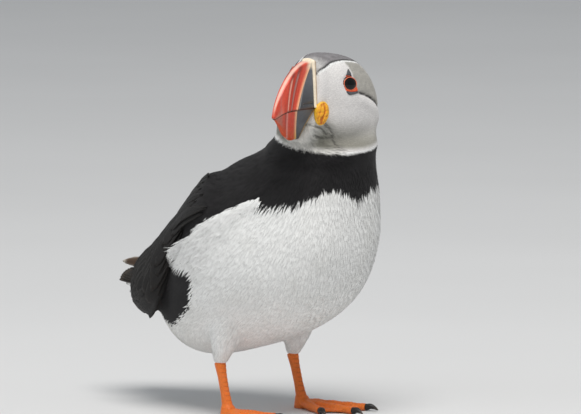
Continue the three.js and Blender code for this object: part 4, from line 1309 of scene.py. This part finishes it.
def build_tail():
    """Tail feathers, with their coverts above and below."""
    feathers = []
    for i in range(14):
        out = i / 13 * 2 - 1
        side = 1 if out < 0 else -1
        colour = WING_BLACK * (1 + rng.normal(0, 0.1))
        height = -0.35 * abs(out) * 4 + 0.6
        feathers.append(vane(tail_surface, (0.02, out * 0.85), (1 - 0.1 * out * out, out), 7.5,
                             height, height, side, colour, rows=20, edge=0.55))
    add_vanes("plumage_tail", feathers, "tail", "tail")
    covers = []
    for k in range(4):
        for i in range(6):
            out = i / 5 * 2 - 1 + rng.normal(0, 0.06)
            tip = 0.6 - 0.16 * k - 0.08 * out * out
            side = 1 if out < 0 else -1
            sink, lift = 2.0 + 0.9 * k - abs(out), 1.6 + 1.1 * k - abs(out)
            colour = WING_BLACK * (1 + rng.normal(0, 0.08))
            covers.append(vane(tail_surface, (tip - 0.5, out * 0.8), (tip, out), 8, sink, lift,
                               side, colour, rows=12, columns=7))
    add_vanes("covers_upper_tail", covers, "tail")
    covers = []
    for k in range(5):
        for i in range(7):
            out = i / 6 * 2 - 1 + rng.normal(0, 0.08)
            tip = 0.66 - 0.15 * k - 0.08 * out * out
            side = -1 if out < 0 else 1
            sink, lift = -3.0 - 1.1 * k + abs(out), -1.8 - 1.2 * k + abs(out)
            colour = GREY_WHITE * (1 + rng.normal(0, 0.05))
            covers.append(vane(tail_surface, (tip - 0.5, out * 0.8), (tip, out * 1.05), 7.5, sink, lift,
                               side, colour, rows=12, columns=7, edge=0.05))
    for side in SIDES.values():
        for x, y, z in TAIL_TUFTS:
            surface = blade((side * x * 0.6, y - 15, z + 1.5), (side * x, y, z), (side * 0.9, 0.1, -0.42))
            covers.append(vane(surface, (0, 0), (1, 0), 5.0, 0.0, 0.0, side, WHITE,
                               rows=10, columns=7, edge=0.0))
    add_vanes("covers_under_tail", covers, "tail")


# ---------------------------------------------------------------- bill
culmen, mouth, gonys = Rows(CULMEN), Rows(MOUTH), Rows(GONYS)


def bill_width(share):
    return BILL_HALF_WIDTH * np.clip(1 - share**1.3, 0, 1) ** 0.9 + 0.5


def fanned(share):
    """Share along the bill's outer edge of what starts at a share along the mouth."""
    near = 0.06 * share / RIDGE_AT
    far = 0.06 + 0.94 * (share - RIDGE_AT) / (1 - RIDGE_AT)
    return np.where(share < RIDGE_AT, near, far)


def bump(share, centre, width):
    return np.exp(-(((share - centre) / width) ** 2))


def upper_relief(share, down):
    ridge = 0.5 * bump(share, RIDGE_AT, 0.02)
    grooves = sum(bump(share, g, 0.016) for g in UPPER_GROOVES) + 0.35 * bump(share, 0.83, 0.02)
    fine = 0.05 * np.sin(share * 150 + 4 * down)
    nostril = 0.7 * bump(down, 0.9, 0.022) * smooth(share, 0.06, 0.1) * smooth(share, 0.36, 0.3)
    return (ridge - 0.42 * grooves + fine * (share > RIDGE_AT)) * smooth(down, 0.02, 0.12) - nostril


def upper_side(share, down, grow=0.0):
    """Points of the upper half's left side: share along the mouth, share from the culmen down to it."""
    crest, edge = culmen.at(fanned(share) * culmen.last), mouth.at(share * mouth.last)
    bow = 3.2 * np.sin(np.pi * down) * np.minimum(share / RIDGE_AT, 1) * (1 - share)
    out = mix(mix(2.3, 0.7, fanned(share)), bill_width(share), down) + grow
    out = out * np.minimum(down / 0.03, 1) ** 0.5
    x = mix(crest[..., 0], edge[..., 0], down) + bow
    z = mix(crest[..., 1] + grow, edge[..., 1], down) + 0.25 * smooth(down, 0.1, 0)
    return np.stack([x, out + upper_relief(share, down), z], -1)


def lower_side(share, down):
    """The same of the lower half, from the mouth down to its keel."""
    edge, keel = mouth.at(share * mouth.last), gonys.at(fanned(share) * gonys.last)
    bow = 1.6 * np.sin(np.pi * down) * (1 - share)
    out = mix(bill_width(share) * 0.93, 1.4 * (1 - share) + 0.5, down**1.15)
    out = out * np.sqrt(np.clip((1 - down) / 0.05, 0, 1))
    ridge = 0.45 * bump(share, RIDGE_AT, 0.02) - 0.4 * sum(bump(share, g, 0.018) for g in LOWER_GROOVES)
    ridge = ridge + 0.05 * np.sin(share * 150 + 3 * down) * (share > RIDGE_AT)
    x = mix(edge[..., 0], keel[..., 0], down) + bow
    z = mix(edge[..., 1] - 0.3, keel[..., 1], down)
    return np.stack([x, out + ridge * smooth(down, 1, 0.9), z], -1)


BILL_RED = linear(208, 58, 34)
BILL_RED_PALE = linear(222, 96, 74)
PEACH = linear(238, 186, 146)
MAUVE = linear(206, 142, 132)
SLATE = linear(98, 101, 107)
SLATE_DARK = linear(66, 67, 70)
SLATE_LINE = linear(168, 168, 168)
CREAM = linear(238, 224, 200)
TAN = linear(190, 156, 118)
MOUTH_LINE = linear(96, 62, 48)
HORN_TIP = linear(190, 120, 102)
GROOVE_COLOURS = dict(zip(UPPER_GROOVES, (linear(164, 118, 112), linear(224, 156, 138))))
HIGHLIGHT = linear(246, 206, 188)
GROOVE_EDGE = linear(132, 36, 22)
RED_SHADE = linear(168, 52, 28)
RED_LOW = linear(196, 84, 34)
OLIVE = linear(176, 140, 74)
YELLOW_PALE = linear(224, 190, 120)
BROWN = linear(120, 70, 62)


def streaks(share, down, count):
    """Noise in streaks that run down the bill."""
    return noise(np.stack([share * count, down * 3, share * 0], -1), 1.6)


def upper_colour(share, down, points):
    """Red horn with pale grooves before the ridge, slate behind it."""
    red = blend(BILL_RED, BILL_RED_PALE, (0.25 + 0.6 * (streaks(share, down, 60) - 0.3)).clip(0, 1))
    colour = blend(red, HORN_TIP, 0.8 * smooth(share, 0.68, 0.92) * smooth(down, 0.5, 0.95))
    for groove, groove_colour in GROOVE_COLOURS.items():
        colour = blend(colour, GROOVE_EDGE, 0.9 * bump(share, groove, 0.03))
        pale = 0.95 * smooth(np.abs(share - groove), 0.016, 0.01) * smooth(down, 0.05, 0.25)
        colour = blend(colour, groove_colour, pale)
    colour = blend(colour, MAUVE, 0.35 * bump(share, 0.83, 0.02))
    slate = blend(SLATE, SLATE_DARK, smooth(down, 0.2, 0.95)) * (0.93 + 0.14 * noise(points, 2.5))[..., None]
    slate = blend(slate, SLATE_LINE, 0.75 * bump(share, RIDGE_AT - 0.062, 0.012) * smooth(down, 0.08, 0.3))
    colour = blend(slate, colour, smooth(share, RIDGE_AT - 0.035, RIDGE_AT - 0.02))
    colour = blend(colour, PEACH, bump(share, RIDGE_AT, 0.024))
    colour = blend(colour, RED_SHADE, 0.5 * bump(share, 0.74, 0.035) * smooth(down, 0.4, 0.8))
    colour = blend(colour, HIGHLIGHT, 0.75 * smooth(down, 0.016, 0.002) * smooth(share, 1, 0.9))
    cream = 0.8 * smooth(down, 0.2, 0.06) * smooth(share, RIDGE_AT + 0.06, RIDGE_AT)
    colour = blend(colour, CREAM, cream)
    return blend(colour, MOUTH_LINE, 0.75 * smooth(down, 0.965, 0.99))


def lower_colour(share, down, points):
    """The same for the lower half, more orange below and olive at its rear."""
    red = blend(BILL_RED, BILL_RED_PALE, 0.4 * streaks(share, down, 50))
    red = blend(red, RED_LOW, 0.6 * smooth(down, 0.3, 0.95))
    colour = blend(red, HORN_TIP * 0.85, 0.8 * smooth(share, 0.74, 0.86) * smooth(down, 0.85, 0.6))
    for groove in LOWER_GROOVES:
        colour = blend(colour, MAUVE * 1.1, 0.9 * bump(share, groove, 0.02))
    colour = blend(colour, BROWN, 0.7 * bump(share, 0.735, 0.012) * smooth(down, 0.8, 0.6))
    slate = blend(blend(SLATE, SLATE_DARK, noise(points, 3)), OLIVE, smooth(share, 0.07, 0.0))
    colour = blend(slate, colour, smooth(share, RIDGE_AT - 0.035, RIDGE_AT - 0.02))
    pale = blend(PEACH, YELLOW_PALE, smooth(down, 0.5, 0.9))
    colour = blend(colour, pale, bump(share, RIDGE_AT, 0.026))
    return blend(colour, MOUTH_LINE, 0.8 * smooth(down, 0.03, 0.008))


def bill_half(name, side_of, colour_of):
    """Both sides of half the bill as one closed tube of rings along it."""
    share = np.append(np.linspace(0, 0.985, 150), 0.995)
    down = 0.001 + 0.998 * np.linspace(0, 1, 56) ** 1.4
    s, d = grid(share, down)
    left = side_of(s, d)
    tint = colour_of(s, d, left)
    rings = np.concatenate([left, left[:, ::-1] * (1, -1, 1)], axis=1)
    return add_tube(name, from_head(rings), np.concatenate([tint, tint[:, ::-1]], axis=1))


def cut_base(piece, height):
    """Cuts away what lies lower than a height over the bill's base, and closes the cut."""
    bm = bmesh.new()
    bm.from_mesh(piece.data)
    cut_off(bm, from_head(BASE_NORMAL * height) * MM + SHIFT, -BASE_NORMAL @ HEAD_AXES)
    bmesh.ops.recalc_face_normals(bm, faces=bm.faces[:])
    bm.to_mesh(piece.data)
    bm.free()


def build_rim():
    """The cream rim: a rounded bead round the base of the upper bill."""
    down = np.linspace(0.001, 0.999, 60)
    across = np.linspace(-0.35, 1, 15)
    rings = []
    for a in across:
        proud = RIM_PROUD * math.sqrt(max(1 - abs(a * 1.6 - 0.6) ** 3, 0.0)) + 0.05
        at = upper_side(np.full(60, 0.02), down, proud)
        flat = at - np.outer(at @ BASE_NORMAL, BASE_NORMAL) + BASE_NORMAL * (a * (RIM_THICK + 0.1))
        rings.append(np.concatenate([flat, flat[::-1] * (1, -1, 1)]))
    rings = np.array(rings)
    tints = blend(TAN, CREAM, smooth(across, 0.42, 0.58))[:, None]
    tints = tints * (0.95 + 0.1 * noise(rings, 1.2))[..., None]
    finish_piece(add_tube("bill_rim_bead", from_head(rings), tints), HORN, "bill_rim", "bill_rim")


def build_bill():
    """Both halves of the horn and the rim at their base."""
    halves = [("upper", upper_side, upper_colour, RIM_THICK - 0.2), ("lower", lower_side, lower_colour, 0.2)]
    for half, side_of, colour_of, height in halves:
        horn = bill_half(f"bill_{half}_horn", side_of, colour_of)
        cut_base(horn, height)
        finish_piece(horn, HORN, "bill", f"bill_{half}")
    build_rim()


# ---------------------------------------------------------------- eyes and gape
def loop_through(outline, sharp):
    """A closed curve through an outline's points: smooth, or with straight sides where sharp is 1."""
    edge = np.array(outline, float)
    place = np.linspace(0, len(edge), 72, endpoint=False)
    curved = Rows(np.vstack([edge[-2:], edge, edge[:3]])).at(place + 2)
    closed = np.vstack([edge, edge[:1]])
    straight = np.stack([np.interp(place, np.arange(len(closed)), closed[:, i]) for i in range(2)], -1)
    return mix(curved, straight, sharp)


def skin_below(starts, inward):
    """Where lines from some places meet the skin, or a point a little inward where they miss it."""
    found = []
    for p in starts.tolist():
        hit = skin.tree.ray_cast(p, inward, SIGHT)[0]
        found.append(hit[:] if hit else np.array(p) + inward * 5)
    return np.array(found)


def pad(name, side, outline, sharp, thick, colour_of, slot, cad_node):
    """A low cushion on the skin by the eye, from its outline in the eye's frame."""
    centre, axes = eye_frame(side)
    edge = loop_through(outline, sharp)
    middle = edge.mean(0)
    inward = -axes[2] @ HEAD_AXES
    rings, tints = [], []
    for share in np.linspace(1, 0.06, 9):
        flat = middle + (edge - middle) * share
        height = thick * (1 - share**2.0) ** 0.5
        if slot == "eye_ring":
            height = height - smooth(np.linalg.norm(flat / (EYE_WIDE, 1), axis=1), 3.6, 2.8)[:, None]
        base = skin_below(from_head(centre + flat @ axes[:2] + axes[2] * 6), inward)
        sunk = -0.9 if share == 1 else 0.0
        rings.append(base - inward * (0.16 + height + sunk))
        tints.append(colour_of(flat, share))
    rings.insert(0, rings[0] + inward * 1.5)
    tints.insert(0, tints[0])
    piece = add_tube(name, np.array(rings), np.array(tints), side > 0)
    finish_piece(piece, WATTLE if slot == "eye_ring" else HORN, slot, cad_node)


LID_RED = linear(214, 78, 34)
LID_PALE = linear(232, 150, 116)
PLATE_SLATE = linear(84, 86, 90)
PLATE_DARK = linear(52, 52, 55)
IRIS = linear(24, 19, 17)
PUPIL = linear(9, 9, 10)


def mottled(flat, size):
    """Light and dark spots for a flat outline, as factors."""
    return (0.85 + 0.3 * noise(np.c_[flat, flat[:, :1]] * 3, size))[:, None]


def lid_colour(flat, share):
    inner = smooth(np.linalg.norm(flat / (EYE_WIDE, 1), axis=1), 3.35, 3.05)
    return blend(LID_RED * mottled(flat, 1.5), LID_PALE, 0.55 * inner)


def plate_colour(flat, share):
    return mix(PLATE_DARK, PLATE_SLATE, 1 - share**3) * mottled(flat, 1.2)


def ball_angles(rows, columns):
    return grid(np.linspace(0.02, math.pi - 0.02, rows), turns(columns))


def build_lid_rim(name):
    """The thin inner lid that hugs the ball: a ring of round section."""
    centre, axes = eye_frame(SIDES[name])
    count, sides = 72, 10
    reach = 3.1
    height = EYE_SUNK + EYE_PROUD - EYE_FLAT * (EYE_RADIUS - math.sqrt(EYE_RADIUS**2 - reach**2))
    turn, angle = grid(np.arange(sides) * (2 * math.pi / sides), np.arange(count) * (2 * math.pi / count))
    radius = reach + 0.2 * np.cos(turn)
    rise = height + 0.05 + 0.2 * np.sin(turn)
    rings = np.stack([radius * EYE_WIDE * np.cos(angle), radius * np.sin(angle), rise], -1)
    ring, spot = grid(np.arange(sides), np.arange(count))
    a, b = ring * count + spot, ring * count + (spot + 1) % count
    total = sides * count
    faces = np.stack([a, b, (b + count) % total, (a + count) % total], -1).reshape(-1, 4)
    if SIDES[name] > 0:
        faces = faces[:, ::-1]
    points = from_head(centre + rings @ axes).reshape(-1, 3)
    piece = add_mesh(f"lid_rim_{name}", points, faces, np.tile(mix(LID_RED, LID_PALE, 0.35), (total, 1)))
    finish_piece(piece, WATTLE, "eye_ring")


def build_eye(name):
    """Ball, lids and the two horny plates of an eye."""
    side = SIDES[name]
    centre, axes = eye_frame(side)
    polar, around = ball_angles(48, 64)
    ball = np.stack([np.sin(polar) * np.cos(around), np.sin(polar) * np.sin(around), np.cos(polar)], -1)
    lens = ball * EYE_RADIUS * (EYE_WIDE, 1, EYE_FLAT) + (0, 0, EYE_SUNK + EYE_PROUD - EYE_RADIUS * EYE_FLAT)
    tints = blend(IRIS, PUPIL, smooth(polar, 0.62, 0.52))
    piece = add_tube(f"eyeball_{name}", from_head(centre + lens @ axes), tints, side > 0)
    finish_piece(piece, EYES, "eye", f"eye_{name}")
    pads = [
        ("eyelids", RING_OUTLINE, 0.35, 0.38, lid_colour, "eye_ring", "eye_ring"),
        ("eye_horn", HORN_OUTLINE, 0.6, 0.4, plate_colour, "eye_plate", "eye_plate_upper"),
        ("eye_bar", BAR_OUTLINE, 0.4, 0.4, plate_colour, "eye_plate", "eye_plate_lower"),
    ]
    for piece_name, outline, sharp, thick, colour_of, slot, cad_node in pads:
        pad(f"{piece_name}_{name}", side, outline, sharp, thick, colour_of, slot, f"{cad_node}_{name}")
    build_lid_rim(name)


# The rosette's folds across it: place, width and depth.
ROSETTE_FOLDS = [(0.05, 0.13, 1.0), (-0.52, 0.09, 0.45), (0.56, 0.1, 0.5)]
# Painted shade in the rosette's folds, its colour on the raised parts, and its paler edge.
ROSETTE_FOLD_SHADE = linear(196, 110, 14)
ROSETTE_HIGH = linear(240, 172, 34)
ROSETTE_EDGE = linear(244, 196, 58)


def build_rosette(name):
    """The gape's yellow rosette: a wrinkled cushion with a lobe, with painted shade in its folds."""
    side = SIDES[name]
    polar, around = ball_angles(70, 120)
    ball = np.stack([np.sin(polar) * np.cos(around), np.cos(polar), np.sin(polar) * np.sin(around)], -1)
    x, out, z = np.moveaxis(ball, -1, 0)
    wander = 0.16 * np.sin(z * 3.1 + 0.6) + 0.3 * (noise(ball * 3, 1.2) - 0.5)
    rounding = np.sqrt(np.clip(1.02 - z * z, 0.02, 1))
    dent = sum(deep * bump(x + wander, at * rounding, wide) for at, wide, deep in ROSETTE_FOLDS)
    cross = 0.35 * np.abs(np.sin(z * 5.5 + 4 * wander + 1.4 * x)) ** 6
    fold = np.clip(1 - dent - cross, 0, 1)
    lobe = 1 + 0.22 * bump(x, 0.6, 0.45) * bump(z, 0.35, 0.4)
    x, z = x * ROSETTE["short"] * lobe, z * ROSETTE["long"]
    out = out * ROSETTE["thick"] * (0.72 + 0.32 * fold)
    turn = math.radians(ROSETTE["turn"])
    cosine, sine = math.cos(turn), math.sin(turn)
    turned = np.stack([x * cosine - out * sine, x * sine + out * cosine, z], -1)
    points = turned * (1, side, 1) + rosette_place(side)
    # Painted shade: darker in the folds, lighter on the raised parts.
    tints = blend(ROSETTE_FOLD_SHADE, ROSETTE_HIGH, smooth(fold, 0.05, 0.85))
    tints = blend(tints, ROSETTE_EDGE, 0.7 * smooth(polar, 1.0, 1.3))
    piece = add_tube(f"gape_{name}", from_head(points), tints, side < 0)
    finish_piece(piece, WATTLE, "rosette", f"rosette_{name}")


# ---------------------------------------------------------------- legs
ORANGE = linear(232, 118, 36)
# Painted shade of the feet's orange.
PAINTED_SHADE_ORANGE = linear(176, 78, 26)
CLAW_BLACK = linear(34, 31, 30)
CLAW_TIP = linear(70, 62, 54)
WEB = linear(206, 96, 40)
NODE_OBJECTS = {o["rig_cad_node"]: o.name for o in bpy.data.objects if "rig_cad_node" in o}


def furrows(distance, spacing):
    """Height of rounded scutes with sharp furrows between them, from 0 down to -1."""
    return np.abs(np.sin(distance * math.pi / spacing)) ** 0.5 - 1


def build_leg(name):
    """Shank, toes and webs as one scaly skin, from the solids of shank and foot."""
    parts, faces, start = [], [], 0
    for node_name in (f"shank_{name}", f"foot_{name}"):
        solid = bpy.data.objects[NODE_OBJECTS[node_name]].data
        points = (np.array([v.co[:] for v in solid.vertices]) - SHIFT) / MM
        normals = np.array([v.normal[:] for v in solid.vertices])
        parts.append(points + normals * 0.2)
        faces += [[start + i for i in p.vertices] for p in solid.polygons]
        start += len(points)
    mesh = bpy.data.meshes.new("leg")
    mesh.from_pydata(np.vstack(parts).tolist(), [], faces)
    points, quads = remeshed(mesh, LEG_CELL)
    points = relaxed(points, quads, 5)
    normals = vertex_normals(points, quads)
    high = points[:, 2]
    front = smooth(normals[:, 1], -0.2, -0.7) * smooth(high, 6, 8)
    scutes = furrows(high, 2.2)
    toes = smooth(normals[:, 2], 0.55, 0.9) * smooth(high, 2.3, 2.9) * smooth(high, 9, 6)
    along = np.linalg.norm(points[:, :2] - HEEL[:2] * (SIDES[name], 1), axis=1)
    rings = furrows(along, 1.9)
    points = points + normals * (0.22 * front * scutes + 0.2 * toes * rings - 0.1)[:, None]
    points[:, 2] = np.maximum(points[:, 2], 0.0)
    seam = np.maximum(front * (scutes < -0.45), toes * (rings < -0.45))
    # Painted shade in the furrows between scutes and toe rings, and towards the floor in the lowest 2 mm.
    tint = blend(ORANGE, PAINTED_SHADE_ORANGE, (0.65 * seam + 0.35 * smooth(high, 2.0, 0.8)).clip(0, 1))
    tint = blend(tint, ORANGE * 1.12, 0.4 * noise(points, 5))
    tint = blend(tint, WEB, 0.6 * smooth(normals[:, 2], 0.5, 0.9) * smooth(high, 2.3, 2.0))
    piece = add_mesh(f"leg_{name}", points, quads, tint)
    finish_piece(piece, SCALES, "leg", f"shank_{name}", f"foot_{name}")


# Length of each toe from the heel, and degrees that it turns out from straight ahead.
TOES = {"inner": (25, -24), "middle": (34, 2), "outer": (33, 26)}
CLAW = {"length": 6.4, "radius": 1.65}
# Share along a claw, height of its middle, share of its radius.
CLAW_STATIONS = [(0, 1.9, 1), (0.12, 1.92, 0.97), (0.4, 2.3, 0.82), (0.7, 1.7, 0.55), (1, 0.6, 0.15)]


def build_claws(name):
    """The curved nails of a foot, flat where they touch the floor."""
    side = SIDES[name]
    station = Rows(CLAW_STATIONS).at(np.linspace(0, 4, 25))
    tint = blend(CLAW_BLACK, CLAW_TIP, smooth(station[:, 0], 0.6, 1))
    tints = np.repeat(tint[:, None], 24, axis=1)
    for toe, (length, turn) in TOES.items():
        angle = math.radians(turn) * side
        ahead = np.array([math.sin(angle), -math.cos(angle), 0])
        start = HEEL * (side, 1, 0) + ahead * (length + 0.1)
        centres = start + ahead * (station[:, :1] * CLAW["length"]) + UP * station[:, 1:2]
        rings = bar_rings(centres, station[:, 2] * CLAW["radius"], 24)
        rings[..., 2] = np.maximum(rings[..., 2], 0)
        piece = add_tube(f"nail_{name}_{toe}", rings, tints)
        finish_piece(piece, HORN, "claw", f"claw_{name}_{toe}")


add_skin()
build_coat()
for flank_name in SIDES:
    build_fluff(flank_name)
for wing_name in SIDES:
    build_wing(wing_name)
build_tail()
build_bill()
for side_name in SIDES:
    build_eye(side_name)
    build_rosette(side_name)
    build_leg(side_name)
    build_claws(side_name)


# ---------------------------------------------------------------- floor, light and camera
CAMERA_DISTANCE = 3000.0
VIEW_WIDTH = 581 / 2.05
VIEW_MIDDLE = np.array([7.76, -7.76, 101.5])
VIEW_AZIMUTH, VIEW_ELEVATION = -45.0, 6.0
SENSOR_WIDTH = 36
FLOOR_RADIUS = 14000
SKY_COLOUR = (0.86, 0.9, 0.94, 1)
SKY_STRENGTH = 0.42
# Place and diameter in metres, watts and colour of each lamp.
LAMPS = {
    "key": ((-0.9, -1.2, 3.1), 2.0, 100, (1.0, 0.98, 0.95)),
    "fill": ((-2.6, 0.6, 1.3), 1.8, 9, (0.92, 0.96, 1.0)),
}


def build_stage():
    """A pale floor and an even sky."""
    material, tree, shader = new_material("Floor", 0.9, Specular_IOR_Level=0.2)
    place = node(tree, "ShaderNodeTexCoord").outputs["Object"]
    cloud = node(tree, "ShaderNodeTexNoise", {"Vector": place, "Scale": 4.0, "Detail": 2.0})
    ramp = node(tree, "ShaderNodeMapRange", {"Value": cloud.outputs["Fac"], "To Min": 0.66, "To Max": 0.7})
    tree.links.new(ramp.outputs["Result"], shader.inputs["Base Color"])
    angle = turns(96)
    rim = np.stack([np.cos(angle), np.sin(angle), np.zeros(96)], -1) * FLOOR_RADIUS
    mesh = bpy.data.meshes.new("floor")
    mesh.from_pydata((rim * MM).tolist(), [], [list(range(96))])
    floor = bpy.data.objects.new("floor", mesh)
    bpy.context.collection.objects.link(floor)
    floor.data.materials.append(material)

    world = bpy.data.worlds.new("Studio")
    bpy.context.scene.world = world
    world.use_nodes = True
    sky = world.node_tree.nodes["Background"]
    sky.inputs["Color"].default_value = SKY_COLOUR
    sky.inputs["Strength"].default_value = SKY_STRENGTH


def add_light(name, place, size, power, colour):
    lamp = bpy.data.lights.new(name, "AREA")
    lamp.shape = "DISK"
    lamp.size = size
    lamp.energy = power
    lamp.color = colour
    holder = bpy.data.objects.new(name, lamp)
    bpy.context.collection.objects.link(holder)
    holder.location = place
    aim = Vector((0, 0, 0.1)) - Vector(place)
    holder.rotation_euler = aim.to_track_quat("-Z", "Y").to_euler()


def build_camera():
    """A long lens towards the bird's front right side."""
    azimuth, elevation = math.radians(VIEW_AZIMUTH), math.radians(VIEW_ELEVATION)
    back = np.array([math.sin(azimuth) * math.cos(elevation), -math.cos(azimuth) * math.cos(elevation),
                     math.sin(elevation)])
    data = bpy.data.cameras.new("Camera")
    data.sensor_width = SENSOR_WIDTH
    data.lens = SENSOR_WIDTH * CAMERA_DISTANCE / VIEW_WIDTH
    data.clip_start, data.clip_end = 0.1, 60
    camera = bpy.data.objects.new("Camera", data)
    bpy.context.collection.objects.link(camera)
    camera.location = (VIEW_MIDDLE + back * CAMERA_DISTANCE) * MM + SHIFT
    camera.rotation_euler = (-Vector(back)).to_track_quat("-Z", "Y").to_euler()
    bpy.context.scene.camera = camera


build_stage()
for lamp_name, lamp_settings in LAMPS.items():
    add_light(lamp_name, *lamp_settings)
build_camera()
bpy.context.scene.view_settings.view_transform = "Standard"
